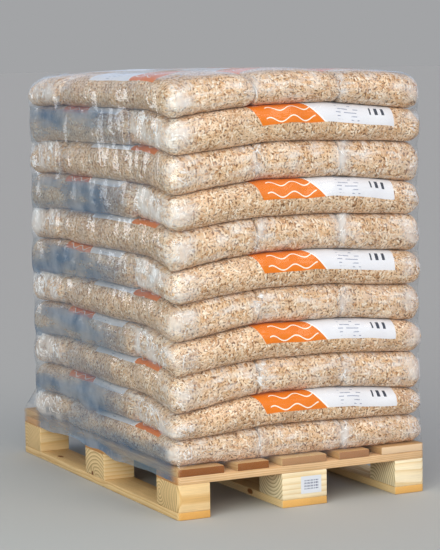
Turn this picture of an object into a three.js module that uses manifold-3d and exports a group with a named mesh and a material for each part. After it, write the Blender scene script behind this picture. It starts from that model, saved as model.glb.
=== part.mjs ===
// A wooden pallet loaded with eleven layers of clear bags of wood pellets, under a clear stretch film.
// Millimetres, +Z up. The origin is on the ground, below the middle of the pallet.
// The pallet's 800 mm front faces -Y, and its 1200 mm side runs along Y.
import * as THREE from 'three';
import { ConvexGeometry } from 'three/addons/geometries/ConvexGeometry.js';
import { mergeVertices } from 'three/addons/utils/BufferGeometryUtils.js';
import Module from 'manifold-3d';

const wasm = await Module();
wasm.setup();

// The wooden pallet
const PALLET_WIDTH = 800;
const PALLET_LENGTH = 1200;
const BOARD = 22;
const WIDE_BOARD = 145;
const NARROW_BOARD = 100;
const BLOCK_HEIGHT = 78;
const BLOCK_LENGTH = 145;
const CORNER_CUT = 14;
const WOOD_EDGE = 1.5;

// The bags
const LAYERS = 11;
const BAG_LENGTH = 812;
const BAG_WIDTH = 280;
const PRESSED_WIDTH = 268;
const FIRST_LAYER = 96;
const LAYER_GROWTH = 10 / 9;
const TOP_LAYER = 95;
const LAYER_GAP = 0.4;
const BAG_END_GAP = 2.5;
const LOAD_FRONT = -596;
const BAG_FLAT_HALF = 85;

// How far the layers hang down towards the sides and the ends of the load
const SIDE_DROOP = 27;
const END_DROOP = 13;

// The stretch film
const FILM = 1.2;
const FILM_CLEARANCE = 0.7;
const FILM_HEM_ABOVE_DECK = 6;

// The paper sticker on the front middle block
const STICKER_WIDTH = 66;
const STICKER_HEIGHT = 50;
const STICKER_THICKNESS = 0.6;

const DECK_TOP = 3 * BOARD + BLOCK_HEIGHT;
const ACROSS_WIDTH = BAG_WIDTH - 5;
const LOAD_LENGTH = ACROSS_WIDTH + BAG_END_GAP + BAG_LENGTH;
const LOAD_REAR = LOAD_FRONT + LOAD_LENGTH;
const LOAD_HALF_WIDTH = PRESSED_WIDTH + BAG_WIDTH / 2;

const pineMaterial = new THREE.MeshStandardMaterial({ color: '#e2bd7d', roughness: 0.75, metalness: 0 });
const blockMaterial = new THREE.MeshStandardMaterial({ color: '#e8c98f', roughness: 0.8, metalness: 0 });
const bagMaterial = new THREE.MeshStandardMaterial({ color: '#c9a377', roughness: 0.45, metalness: 0 });
const filmMaterial = new THREE.MeshStandardMaterial({
  color: '#dfe8ee', roughness: 0.12, metalness: 0, transparent: true, opacity: 0.25,
});
const paperMaterial = new THREE.MeshStandardMaterial({ color: '#f2f1ec', roughness: 0.8, metalness: 0 });

const pallet = new THREE.Group();
pallet.name = 'pallet_of_sacks';

function addMesh(name, geometry, material, position = [0, 0, 0]) {
  const mesh = new THREE.Mesh(geometry, material);
  mesh.name = name;
  mesh.position.set(...position);
  pallet.add(mesh);
  return mesh;
}

// A geometry with only positions, its shared corners merged
function closed(geometry) {
  const bare = geometry.clone();
  bare.deleteAttribute('normal');
  bare.deleteAttribute('uv');
  return mergeVertices(bare, 1e-3);
}

function toSolid(geometry) {
  const bare = closed(geometry);
  return new wasm.Manifold(new wasm.Mesh({
    numProp: 3,
    vertProperties: Float32Array.from(bare.attributes.position.array),
    triVerts: Uint32Array.from(bare.index.array),
  }));
}

function toGeometry(solid) {
  const mesh = solid.getMesh();
  const geometry = new THREE.BufferGeometry();
  geometry.setAttribute('position', new THREE.BufferAttribute(mesh.vertProperties, 3));
  geometry.setIndex(new THREE.BufferAttribute(mesh.triVerts, 1));
  return geometry;
}

// A board or block seen from above, centred on x and y, its outer corners cut off where asked
function plank(width, length, height, cuts = {}) {
  const x = width / 2;
  const y = length / 2;
  const cut = (corner) => (cuts[corner] ? CORNER_CUT : WOOD_EDGE);
  const corners = [
    [x, y, cut('rearRight')],
    [-x, y, cut('rearLeft')],
    [-x, -y, cut('frontLeft')],
    [x, -y, cut('frontRight')],
  ];
  const outline = new THREE.Shape();
  corners.forEach(([cornerX, cornerY, size], i) => {
    const alongX = -Math.sign(cornerX) * size;
    const alongY = -Math.sign(cornerY) * size;
    const first = i % 2 ? [cornerX + alongX, cornerY] : [cornerX, cornerY + alongY];
    const second = i % 2 ? [cornerX, cornerY + alongY] : [cornerX + alongX, cornerY];
    if (i === 0) outline.moveTo(...first);
    else outline.lineTo(...first);
    outline.lineTo(...second);
  });
  outline.closePath();
  return new THREE.ExtrudeGeometry(outline, { depth: height, bevelEnabled: false });
}

// The pallet's columns of blocks, from left to right, and its rows, from front to rear
const columns = [
  { side: 'left', x: -(PALLET_WIDTH - NARROW_BOARD) / 2, width: NARROW_BOARD },
  { side: 'centre', x: 0, width: WIDE_BOARD },
  { side: 'right', x: (PALLET_WIDTH - NARROW_BOARD) / 2, width: NARROW_BOARD },
];
const rows = [
  { row: 'front', y: -(PALLET_LENGTH - BLOCK_LENGTH) / 2 },
  { row: 'middle', y: 0 },
  { row: 'rear', y: (PALLET_LENGTH - BLOCK_LENGTH) / 2 },
];

function outerCorners(side) {
  return {
    frontLeft: side === 'left',
    rearLeft: side === 'left',
    frontRight: side === 'right',
    rearRight: side === 'right',
  };
}

function addPallet() {
  for (const { side, x, width } of columns) {
    const skid = plank(width, PALLET_LENGTH, BOARD, outerCorners(side));
    addMesh(`skid_${side}`, skid, pineMaterial, [x, 0, 0]);
    for (const { row, y } of rows) {
      const cuts = outerCorners(side);
      const atFront = row === 'front';
      const atRear = row === 'rear';
      const block = plank(width, BLOCK_LENGTH, BLOCK_HEIGHT, {
        frontLeft: cuts.frontLeft && atFront,
        frontRight: cuts.frontRight && atFront,
        rearLeft: cuts.rearLeft && atRear,
        rearRight: cuts.rearRight && atRear,
      });
      addMesh(`block_${row}_${side}`, block, blockMaterial, [x, y, BOARD]);
    }
  }
  for (const { row, y } of rows) {
    const stringer = plank(PALLET_WIDTH, BLOCK_LENGTH, BOARD, {
      frontLeft: row === 'front',
      frontRight: row === 'front',
      rearLeft: row === 'rear',
      rearRight: row === 'rear',
    });
    addMesh(`stringer_${row}`, stringer, pineMaterial, [0, y, BOARD + BLOCK_HEIGHT]);
  }
  const deckHeight = 2 * BOARD + BLOCK_HEIGHT;
  const outerDeck = (PALLET_WIDTH - WIDE_BOARD) / 2;
  const innerDeck = outerDeck / 2;
  const deck = [
    ['deck_board_left', -outerDeck, WIDE_BOARD, outerCorners('left')],
    ['deck_board_inner_left', -innerDeck, NARROW_BOARD, {}],
    ['deck_board_centre', 0, WIDE_BOARD, {}],
    ['deck_board_inner_right', innerDeck, NARROW_BOARD, {}],
    ['deck_board_right', outerDeck, WIDE_BOARD, outerCorners('right')],
  ];
  for (const [name, x, width, cuts] of deck) {
    addMesh(name, plank(width, PALLET_LENGTH, BOARD, cuts), pineMaterial, [x, 0, deckHeight]);
  }
}

function addSticker() {
  const sticker = new THREE.BoxGeometry(STICKER_WIDTH, STICKER_THICKNESS, STICKER_HEIGHT);
  const fromLeft = 0.64 * WIDE_BOARD;
  const y = -PALLET_LENGTH / 2 - STICKER_THICKNESS / 2 - 0.3;
  addMesh('pallet_sticker', sticker, paperMaterial, [fromLeft - WIDE_BOARD / 2, y, BOARD + 0.5 * BLOCK_HEIGHT]);
}

// A value that runs in straight steps between the listed places
function stepped(places, value) {
  const last = places.length - 1;
  if (value <= places[0][0]) return places[0][1];
  for (let i = 1; i <= last; i += 1) {
    const [end, endValue] = places[i];
    const [start, startValue] = places[i - 1];
    if (value <= end) return startValue + ((value - start) / (end - start)) * (endValue - startValue);
  }
  return places[last][1];
}

// The load droops towards its sides and its ends. Both curves are straight between the places where
// the bags above and below have their edges, so that two layers meet in the same flat facets.
const sidePlaces = [0, PRESSED_WIDTH - BAG_FLAT_HALF, PRESSED_WIDTH + BAG_FLAT_HALF, LOAD_HALF_WIDTH];
const sideDroop = sidePlaces.map((x) => [x, SIDE_DROOP * (x / LOAD_HALF_WIDTH) ** 2.5]);
sideDroop.splice(1, 0, [BAG_FLAT_HALF, 0]);

const sideRound = LOAD_HALF_WIDTH - PRESSED_WIDTH - BAG_FLAT_HALF;
const endInner = ACROSS_WIDTH / 2 + BAG_FLAT_HALF;
const endOuter = ACROSS_WIDTH / 2 - BAG_FLAT_HALF;
const endDroop = [[0, END_DROOP], [endOuter, END_DROOP * 0.6], [endInner, 0]];

// Height of the face between one layer and the next, at a point of the load
function faceHeight(layer, x, y) {
  const rise = layer === LAYERS
    ? (LAYERS - 1) * FIRST_LAYER + LAYER_GROWTH * 45 + TOP_LAYER
    : layer * FIRST_LAYER + (LAYER_GROWTH * layer * (layer - 1)) / 2;
  const fromEnd = Math.min(y - LOAD_FRONT, LOAD_REAR - y);
  const droop = layer === 0 ? 0 : stepped(sideDroop, Math.abs(x)) + stepped(endDroop, fromEnd);
  return DECK_TOP + rise - droop;
}

// The round side of a bag, from its widest point up to its flat top: [distance in from the side, height],
// both as parts of the bag's half width and half height
function bagSection(halfWidth) {
  const quarter = [
    [halfWidth, 0],
    [halfWidth - 5, 0.42],
    [halfWidth - 20, 0.8],
    [BAG_FLAT_HALF, 1],
  ];
  const mirrored = quarter.slice(1).reverse().map(([across, up]) => [-across, up]);
  const upper = [...quarter, ...mirrored, [-halfWidth, 0]];
  const lower = upper.slice(1, -1).reverse().map(([across, up]) => [across, -up]);
  return [...upper, ...lower];
}

// The stations along a bag: [distance from its middle, height there as a part of its full height,
// width there as a part of its full width]. The ends close to the flat seal.
function bagStations(length, roundEnd, inner) {
  const half = length / 2;
  const end = [
    [half - roundEnd, 1, 1],
    [half - 18, 0.82, 0.985],
    [half - 4, 0.45, 0.95],
    [half, 0.12, 0.9],
  ];
  const start = end.slice().reverse().map(([at, height, width]) => [-at, height, width]);
  return [...start, ...inner.map((at) => [at, 1, 1]), ...end];
}

// A filled bag: a loft of round-sided sections, pressed between the faces below and above its layer.
// `place` turns a point along and across the bag into a point of the load.
function bagGeometry(layer, stations, halfWidth, place) {
  const section = bagSection(halfWidth);
  const positions = [];
  for (const [along, height, width] of stations) {
    for (const [across, up] of section) {
      const [x, y] = place(along, across * width);
      const low = faceHeight(layer - 1, x, y) + LAYER_GAP;
      const high = faceHeight(layer, x, y);
      positions.push(x, y, low + ((high - low) * (1 + up * height)) / 2);
    }
  }
  const count = section.length;
  const index = [];
  for (let ring = 0; ring + 1 < stations.length; ring += 1) {
    for (let i = 0; i < count; i += 1) {
      const a = ring * count + i;
      const b = ring * count + ((i + 1) % count);
      index.push(a, a + count, b, b, a + count, b + count);
    }
  }
  const lastRing = (stations.length - 1) * count;
  for (let i = 1; i + 1 < count; i += 1) {
    index.push(0, i, i + 1);
    index.push(lastRing, lastRing + i + 1, lastRing + i);
  }
  const geometry = new THREE.BufferGeometry();
  geometry.setAttribute('position', new THREE.Float32BufferAttribute(positions, 3));
  geometry.setIndex(index);
  return geometry;
}

// One bag lies across the load at one end. Its stations follow the edges of the bags that lie along it.
function addAcrossBag(layer, name, centreY) {
  const inner = [-PRESSED_WIDTH + BAG_FLAT_HALF, -BAG_FLAT_HALF, BAG_FLAT_HALF, PRESSED_WIDTH - BAG_FLAT_HALF];
  const stations = bagStations(2 * LOAD_HALF_WIDTH, sideRound, inner);
  const place = (along, across) => [-along, centreY + across];
  addMesh(name, bagGeometry(layer, stations, ACROSS_WIDTH / 2, place), bagMaterial);
}

// Three bags lie side by side along the load, pressed together at their sides
function addAlongBags(layer, name, startY) {
  const centreY = startY + BAG_LENGTH / 2;
  const crossings = [LOAD_FRONT + endInner, LOAD_REAR - endInner];
  const inner = crossings.map((y) => y - centreY).filter((at) => Math.abs(at) < BAG_LENGTH / 2 - 60);
  const stations = bagStations(BAG_LENGTH, endOuter, inner);
  let row = null;
  for (const x of [-PRESSED_WIDTH, 0, PRESSED_WIDTH]) {
    const place = (along, across) => [x + across, centreY + along];
    const bag = toSolid(bagGeometry(layer, stations, BAG_WIDTH / 2, place));
    row = row ? row.add(bag) : bag;
  }
  addMesh(name, toGeometry(row), bagMaterial);
}

function addLoad() {
  for (let layer = 1; layer <= LAYERS; layer += 1) {
    const number = String(layer).padStart(2, '0');
    const acrossAtFront = layer % 2 === 0;
    const frontY = LOAD_FRONT + ACROSS_WIDTH / 2;
    const rearY = LOAD_REAR - ACROSS_WIDTH / 2;
    addAcrossBag(layer, `bag_across_${number}`, acrossAtFront ? frontY : rearY);
    addAlongBags(layer, `bags_along_${number}`, acrossAtFront ? LOAD_REAR - BAG_LENGTH : LOAD_FRONT);
  }
}

// The load's tight skin, its sides and top moved out by `clearance`
function skin(clearance) {
  const points = [];
  for (const mesh of pallet.children.filter((child) => child.name.startsWith('bag'))) {
    const position = mesh.geometry.attributes.position;
    for (let i = 0; i < position.count; i += 1) {
      points.push(new THREE.Vector3().fromBufferAttribute(position, i));
    }
  }
  const load = new THREE.Box3().setFromPoints(points);
  const middle = load.getCenter(new THREE.Vector3()).setZ(DECK_TOP);
  const half = load.max.clone().sub(middle);
  const stretch = half.clone().addScalar(clearance).divide(half);
  for (const point of points) point.sub(middle).multiply(stretch).add(middle);
  return toSolid(new ConvexGeometry(points));
}

// The clear film is a thin hood stretched over the load, open below
function addFilm() {
  const belowHem = new THREE.BoxGeometry(2 * PALLET_WIDTH, 2 * PALLET_LENGTH, 2 * DECK_TOP);
  belowHem.translate(0, 0, FILM_HEM_ABOVE_DECK);
  const hood = skin(FILM_CLEARANCE + FILM).subtract(skin(FILM_CLEARANCE)).subtract(toSolid(belowHem));
  addMesh('stretch_film', toGeometry(hood), filmMaterial);
}

// Builds the model in this order
addPallet();
addSticker();
addLoad();
addFilm();

export default pallet;
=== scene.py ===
# %% [markdown]
# # A pallet of bagged wood pellets
# The real object is a softwood pallet that carries eleven layers of clear plastic bags. The bags are
# filled with wood pellets, and a clear film is stretched over the whole load. The frame that is loaded
# here holds plain solids of the right size. This lesson gives them their real surfaces.

# %% Load the frame
import math

import bpy
import numpy as np
from mathutils import Matrix, Vector


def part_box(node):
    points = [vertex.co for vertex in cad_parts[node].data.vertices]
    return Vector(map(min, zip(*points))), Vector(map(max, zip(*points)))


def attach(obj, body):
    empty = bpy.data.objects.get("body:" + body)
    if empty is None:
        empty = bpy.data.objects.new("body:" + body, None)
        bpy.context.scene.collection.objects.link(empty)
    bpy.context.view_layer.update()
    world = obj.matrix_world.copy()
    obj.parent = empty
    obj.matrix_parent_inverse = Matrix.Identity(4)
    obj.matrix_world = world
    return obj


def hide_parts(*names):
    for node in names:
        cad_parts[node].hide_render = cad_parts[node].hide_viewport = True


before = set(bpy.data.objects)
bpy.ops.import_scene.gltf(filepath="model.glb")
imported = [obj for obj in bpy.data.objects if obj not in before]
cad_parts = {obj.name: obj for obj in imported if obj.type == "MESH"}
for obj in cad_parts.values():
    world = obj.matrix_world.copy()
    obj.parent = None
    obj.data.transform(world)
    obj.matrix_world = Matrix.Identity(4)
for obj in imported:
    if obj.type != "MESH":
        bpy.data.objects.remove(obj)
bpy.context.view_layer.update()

# %% [markdown]
# ## The camera
# The photograph was taken from eye height with the pallet to the left of the middle. The camera keeps
# that place, turns towards the middle of the load, and has a longer lens, so the object fills the frame
# and is seen at the same angle. The photograph leans a little, and so does the camera.

# %% Place the camera
CAMERA_PLACE = Vector((-2.748, -5.689, 1.268))
CAMERA_TARGET = Vector((-0.015, -0.10, 0.622))
CAMERA_LEAN = math.radians(-0.9)
FRAME_WIDTH = 440
FRAME_HEIGHT = 550
SENSOR = 36.0
SEEN_WIDTH = 1.34


def aimed(place, target, lean):
    """The turn that looks from place to target, tipped round the line of sight by lean."""
    look = (target - place).to_track_quat("-Z", "Y")
    return look @ Matrix.Rotation(lean, 4, "Z").to_quaternion()


camera_data = bpy.data.cameras.new("camera")
camera = bpy.data.objects.new("camera", camera_data)
camera.location = CAMERA_PLACE
camera.rotation_mode = "QUATERNION"
camera.rotation_quaternion = aimed(CAMERA_PLACE, CAMERA_TARGET, CAMERA_LEAN)
camera_distance = (CAMERA_TARGET - CAMERA_PLACE).length
camera_data.sensor_width = SENSOR
# Blender fits the sensor's width to the longer side of the picture, which is its height here
camera_data.lens = SENSOR * camera_distance / SEEN_WIDTH * FRAME_WIDTH / FRAME_HEIGHT
bpy.context.scene.collection.objects.link(camera)
bpy.context.scene.camera = camera
print("camera", round(camera_distance, 2), "m away, lens", round(camera_data.lens, 1), "mm")

# %% [markdown]
# ## Helpers for colours, nodes and meshes
# Every colour is written as an sRGB hex value. Shaders work in linear
# light, so one function turns the values. One more function adds a node, and a third one turns arrays of
# points and faces into a mesh.

# %% Colours and nodes


def linear(code):
    """An sRGB hex colour as linear RGBA: each channel is undone from the sRGB curve."""
    srgb = np.array([int(code[i:i + 2], 16) for i in (1, 3, 5)]) / 255
    rgb = np.where(srgb <= 0.04045, srgb / 12.92, ((srgb + 0.055) / 1.055) ** 2.4)
    return (*rgb.tolist(), 1.0)


def node(tree, kind, settings, inputs):
    """Adds a shader node. An input is linked to the socket that it is given, or else set to the value.

    A node that is given stands for its main output, the first one that its settings leave in use.
    """
    new = tree.nodes.new("ShaderNode" + kind)
    for name, value in settings.items():
        setattr(new, name, value)
    for name, value in inputs.items():
        if isinstance(value, bpy.types.Node):
            value = next(socket for socket in value.outputs if socket.enabled)
        if isinstance(value, bpy.types.NodeSocket):
            tree.links.new(value, new.inputs[name])
        else:
            new.inputs[name].default_value = value
    return new


def new_material(name):
    """A new material and its node tree, which has no nodes yet."""
    material = bpy.data.materials.new(name)
    material.use_nodes = True
    tree = material.node_tree
    tree.nodes.clear()
    return material, tree


def set_stops(ramp, stops):
    """Gives a colour ramp its stops, a list of (place from 0 to 1, hex colour)."""
    elements = ramp.color_ramp.elements
    while len(elements) < len(stops):
        elements.new(0.5)
    for element, (place, code) in zip(elements, stops):
        element.position = place
        element.color = linear(code)


print("the grey #808080 is", round(linear("#808080")[0], 3), "in linear light")

# %% Meshes from arrays


def add_piece(name, points, faces, material, uv_maps=None, attributes=None):
    """Makes an object from an array of points and one of faces, all with the same number of corners.

    uv_maps are arrays with one place for each face corner, and attributes one value for each point.
    """
    mesh = bpy.data.meshes.new(name)
    corners = faces.shape[1]
    mesh.vertices.add(len(points))
    mesh.vertices.foreach_set("co", points.astype(np.float32).ravel())
    mesh.loops.add(faces.size)
    mesh.loops.foreach_set("vertex_index", faces.astype(np.int32).ravel())
    mesh.polygons.add(len(faces))
    mesh.polygons.foreach_set("loop_start", np.arange(0, faces.size, corners, dtype=np.int32))
    mesh.polygons.foreach_set("use_smooth", np.ones(len(faces), dtype=bool))
    for map_name, places in (uv_maps or {}).items():
        layer = mesh.uv_layers.new(name=map_name)
        layer.data.foreach_set("uv", places.astype(np.float32).ravel())
    for attribute_name, values in (attributes or {}).items():
        kind = "FLOAT" if values.ndim == 1 else "FLOAT_VECTOR"
        field = "value" if values.ndim == 1 else "vector"
        layer = mesh.attributes.new(attribute_name, kind, "POINT")
        layer.data.foreach_set(field, values.astype(np.float32).ravel())
    mesh.materials.append(material)
    mesh.update(calc_edges=True)
    piece = bpy.data.objects.new(name, mesh)
    bpy.context.scene.collection.objects.link(piece)
    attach(piece, "root")
    return piece


def waves(points, shortest, longest, seed, count=16):
    """Smooth random relief from about -1 to 1: a sum of sine waves in random directions.

    The waves' lengths lie between shortest and longest, in metres, as the points are.
    """
    draw = np.random.default_rng(seed)
    length = np.exp(draw.uniform(np.log(shortest), np.log(longest), count))
    direction = draw.normal(size=(count, points.shape[-1]))
    direction /= np.linalg.norm(direction, axis=1, keepdims=True)
    phase = points @ (2 * np.pi * direction / length[:, None]).T + draw.uniform(0, 2 * np.pi, count)
    return np.sin(phase).sum(axis=-1) / math.sqrt(2 * count)


relief = waves(np.linspace((0, 0, 0), (1, 0, 0), 500), 0.05, 0.2, 1)
print("waves along one metre lie between", relief.min().round(2), "and", relief.max().round(2))

# %% [markdown]
# ## The pine of the pallet
# The boards and blocks are sawn pine, new and unpainted. Sawing cuts through the tree's rings, so a
# board shows long lines and pointed arches on its faces and arcs on its ends. The material works this
# out in space: each piece carries its own grain coordinates, with the tree's core somewhere outside the
# board, and the rings are circles round that core. So the lines meet at every edge, as on real wood.

# %% Rings and knots
RING_SPACING = 0.0034
# Bends of the trunk are about 0.6 m long and 0.11 m across, and move the rings by up to 11 mm either way
BEND_SCALE = (1.6, 9.0, 9.0)
BEND_DEPTH = 0.022
KNOT_SPACING = 0.26
KNOT_ROUNDNESS = 2.2
KNOT_RADIUS = 0.011
KNOT_PUSH = 0.014
LATE_WOOD_POWER = 2.6
RING_END = 0.9


def ring_lines(tree, grain, spacing):
    """Late wood in rings round the core, and the knots: (share of late wood, share of knot).

    A ring's share of late wood rises as (radius / spacing)'s fraction to a power, and falls at its end.
    """
    # Slow bends in the trunk move the rings sideways along the board
    stretched = node(tree, "Mapping", {}, {"Vector": grain, "Scale": BEND_SCALE})
    bend = node(tree, "TexNoise", {}, {"Vector": stretched, "Scale": 1.0, "Detail": 2.0})
    bend_out = node(tree, "VectorMath", {"operation": "SCALE"}, {
        0: bend.outputs["Color"], "Scale": BEND_DEPTH})
    bent = node(tree, "VectorMath", {"operation": "ADD"}, {0: grain, 1: bend_out})

    # A knot is where a branch left the trunk. It pushes the rings round it.
    knot_scale = (1 / KNOT_SPACING, KNOT_ROUNDNESS / KNOT_SPACING, KNOT_ROUNDNESS / KNOT_SPACING)
    knot_place = node(tree, "Mapping", {}, {"Vector": grain, "Scale": knot_scale})
    knots = node(tree, "TexVoronoi", {"feature": "F1"}, {
        "Vector": knot_place, "Scale": 1.0, "Randomness": 1.0})
    near_knot = node(tree, "MapRange", {"interpolation_type": "SMOOTHERSTEP"}, {
        "Value": knots, "From Min": 0.02, "From Max": 0.24, "To Min": 1.0, "To Max": 0.0})
    in_knot = node(tree, "MapRange", {"interpolation_type": "SMOOTHSTEP"}, {
        "Value": knots, "From Min": KNOT_RADIUS / KNOT_SPACING * 1.2,
        "From Max": KNOT_RADIUS / KNOT_SPACING * 2.0, "To Min": 1.0, "To Max": 0.0})

    # Rings are circles round the core, which runs along the grain's first axis
    parts = node(tree, "SeparateXYZ", {}, {"Vector": bent})
    across = node(tree, "CombineXYZ", {}, {"Y": parts.outputs["Y"], "Z": parts.outputs["Z"]})
    radius = node(tree, "VectorMath", {"operation": "LENGTH"}, {0: across})
    pushed = node(tree, "Math", {"operation": "MULTIPLY_ADD"}, {0: near_knot, 1: KNOT_PUSH, 2: radius})
    ring = node(tree, "Math", {"operation": "DIVIDE"}, {0: pushed, 1: spacing})
    phase = node(tree, "Math", {"operation": "FRACT"}, {0: ring})
    late_wood = node(tree, "Math", {"operation": "POWER"}, {0: phase, 1: LATE_WOOD_POWER})
    fade = node(tree, "MapRange", {}, {
        "Value": phase, "From Min": RING_END, "From Max": 1.0, "To Min": 1.0, "To Max": 0.0})
    return node(tree, "Math", {"operation": "MULTIPLY"}, {0: late_wood, 1: fade}), in_knot


print("rings", RING_SPACING * 1000, "mm apart, knots about", KNOT_SPACING, "m apart")

# %% Colour of the long faces
KNOT_BROWN = "#8A5527"
PATCH_SCALE = 9.0


def long_face_colour(tree, rings, fibres, early, late, shade):
    """Early wood turned to late wood by the rings, times fibres and patches, with brown knots."""
    late_share, in_knot = rings
    tone = node(tree, "Attribute", {"attribute_name": "tone"}, {}).outputs["Fac"]
    place = node(tree, "TexCoord", {}, {}).outputs["Object"]
    patches = node(tree, "TexNoise", {}, {"Vector": place, "Scale": PATCH_SCALE, "Detail": 4.0})
    wood = node(tree, "Mix", {"data_type": "RGBA"}, {
        "Factor": late_share, "A": linear(early), "B": linear(late)})
    streaked = node(tree, "MapRange", {}, {
        "Value": fibres, "From Min": 0.3, "From Max": 0.7, "To Min": 0.86, "To Max": 1.06})
    mottled = node(tree, "MapRange", {}, {
        "Value": patches, "From Min": 0.3, "From Max": 0.7, "To Min": 0.90, "To Max": 1.05})
    strength = node(tree, "Math", {"operation": "MULTIPLY"}, {0: streaked, 1: mottled})
    shaded = node(tree, "VectorMath", {"operation": "SCALE"}, {0: wood, "Scale": strength})
    toned = node(tree, "Mix", {"data_type": "RGBA", "blend_type": "MULTIPLY"}, {
        "Factor": tone, "A": shaded, "B": linear(shade)})
    return node(tree, "Mix", {"data_type": "RGBA"}, {
        "Factor": in_knot, "A": toned, "B": linear(KNOT_BROWN)})


print("patches of tone are about", round(1 / PATCH_SCALE, 2), "m wide")

# %% Colour of the ends
PALE_END_COLOUR = "#F6D8B2"


def end_colour(tree, long_face, late_share, ends, end_rings):
    """The long faces' colour, and on the ends that colour times the ends' own.

    End grain is darker than the long faces, and most in its rings of late wood. On the deck's ends the
    colour also holds painted shade from the bags that hang over them. Some ends are mixed towards one paler
    colour by a share of their own.
    """
    fibre = node(tree, "Attribute", {"attribute_name": "fibre"}, {}).outputs["Vector"]
    paler = node(tree, "Attribute", {"attribute_name": "paler"}, {}).outputs["Fac"]
    normal = node(tree, "NewGeometry", {}, {}).outputs["True Normal"]
    facing = node(tree, "VectorMath", {"operation": "DOT_PRODUCT"}, {0: fibre, 1: normal})
    end_grain = node(tree, "Math", {"operation": "ABSOLUTE"}, {0: facing})
    end_share = node(tree, "MapRange", {}, {
        "Value": end_grain, "From Min": 0.5, "From Max": 0.9, "To Min": 0.0, "To Max": 1.0})
    end_shade = node(tree, "Mix", {"data_type": "RGBA"}, {
        "Factor": late_share, "A": linear(ends), "B": linear(end_rings)})
    darker_end = node(tree, "Mix", {"data_type": "RGBA", "blend_type": "MULTIPLY"}, {
        "Factor": end_share, "A": long_face, "B": end_shade})
    paler_share = node(tree, "Math", {"operation": "MULTIPLY"}, {0: paler, 1: end_share})
    return node(tree, "Mix", {"data_type": "RGBA"}, {
        "Factor": paler_share, "A": darker_end, "B": linear(PALE_END_COLOUR)})


print("a fresh cut has the colour", PALE_END_COLOUR)

# %% Pine material
# The blocks' rings are drawn about twice as wide as real ones, so they show at the photograph's size
BLOCK_RING_SPACING = 0.0105
# Fibres are drawn 1 mm wide, far coarser than real ones, so they show too. They are about 70 mm long.
FIBRE_WIDTH = 0.0011
FIBRES_A_METRE = 14.0
# Saw marks run across a board for about 170 mm
SAW_MARK_SPACING = 0.0045
SAW_MARKS_A_METRE = 6.0
SAW_MARK_DEPTH = 0.0006


def pine_material(name, early, late, shade, ends, end_rings, spacing=RING_SPACING):
    """Sawn pine, bare and dry: matt, with fine fibres and shallow saw marks that break up the light."""
    material, tree = new_material(name)
    grain = node(tree, "Attribute", {"attribute_name": "grain"}, {}).outputs["Vector"]
    fibre_scale = (FIBRES_A_METRE, 1 / FIBRE_WIDTH, 1 / FIBRE_WIDTH)
    fibre_place = node(tree, "Mapping", {}, {"Vector": grain, "Scale": fibre_scale})
    fibres = node(tree, "TexNoise", {}, {"Vector": fibre_place, "Scale": 1.0, "Detail": 2.0})
    rings = ring_lines(tree, grain, spacing)
    long_face = long_face_colour(tree, rings, fibres, early, late, shade)
    colour = end_colour(tree, long_face, rings[0], ends, end_rings)

    saw_scale = (1 / SAW_MARK_SPACING, SAW_MARKS_A_METRE, SAW_MARKS_A_METRE)
    saw_place = node(tree, "Mapping", {}, {"Vector": grain, "Scale": saw_scale})
    saw_marks = node(tree, "TexNoise", {}, {"Vector": saw_place, "Scale": 1.0, "Detail": 1.0})
    relief = node(tree, "Math", {"operation": "ADD"}, {0: fibres, 1: saw_marks})
    bump = node(tree, "Bump", {}, {"Strength": 0.5, "Distance": SAW_MARK_DEPTH, "Height": relief})
    rough = node(tree, "MapRange", {}, {"Value": fibres, "To Min": 0.62, "To Max": 0.82})
    surface = node(tree, "BsdfPrincipled", {}, {
        "Base Color": colour, "Roughness": rough, "Normal": bump, "Specular IOR Level": 0.35})
    node(tree, "OutputMaterial", {}, {"Surface": surface})
    return material


# Colours of early wood, late wood, a darker board's shade, and the ends' wood and rings
WOODS = {
    # The deck's dark ends are end grain, darkened further by painted shade of the bags that hang over them
    "deck": pine_material("sawn_pine_deck", "#DCC094", "#BF935A", "#D8B486", "#BE8A44", "#BE8A44"),
    "stringer": pine_material("sawn_pine_cross_boards", "#F8DEBA", "#D6A870", "#EAD4B8", "#E2C6A2",
                              "#D0B08A"),
    "block": pine_material("sawn_pine_blocks", "#FDEECF", "#E6C68C", "#F0DABA", "#FCFAF4", "#A8A496",
                           BLOCK_RING_SPACING),
    "skid": pine_material("sawn_pine_skids", "#EED09C", "#CFA264", "#E6CFAE", "#FFE6B8", "#F2D8A4"),
}
print("materials:", [wood.name for wood in WOODS.values()])

# %% [markdown]
# ## Boards and blocks
# A sawn board is a block of wood whose sharp edges are broken by handling. Its shape is worked out as
# one closed grid: a rounded outline, carried through a few levels from the underside to the top, with
# the first and last levels pulled in to round the long edges too. The grain coordinates come from the
# same points, turned so that their first axis runs along the fibres.

# %% Shape of a board


def rounded_outline(half_x, half_y, radii, steps=5):
    """Points round a rectangle whose corners are quarter circles, one radius for each corner."""
    corners = [(1, 1), (-1, 1), (-1, -1), (1, -1)]
    points = []
    for number, ((side_x, side_y), radius) in enumerate(zip(corners, radii)):
        centre = np.array([side_x * (half_x - radius), side_y * (half_y - radius)])
        angle = np.linspace(0, np.pi / 2, steps) + number * np.pi / 2
        points.append(centre + radius * np.stack([np.cos(angle), np.sin(angle)], axis=1))
    return np.concatenate(points)


EDGE_ROUND = 0.0022
# The middle of a round edge lies 1 - cos 45 of its radius from both faces
EDGE_MIDDLE = 0.3 * EDGE_ROUND
LEAST_CORNER = 0.0002


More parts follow.
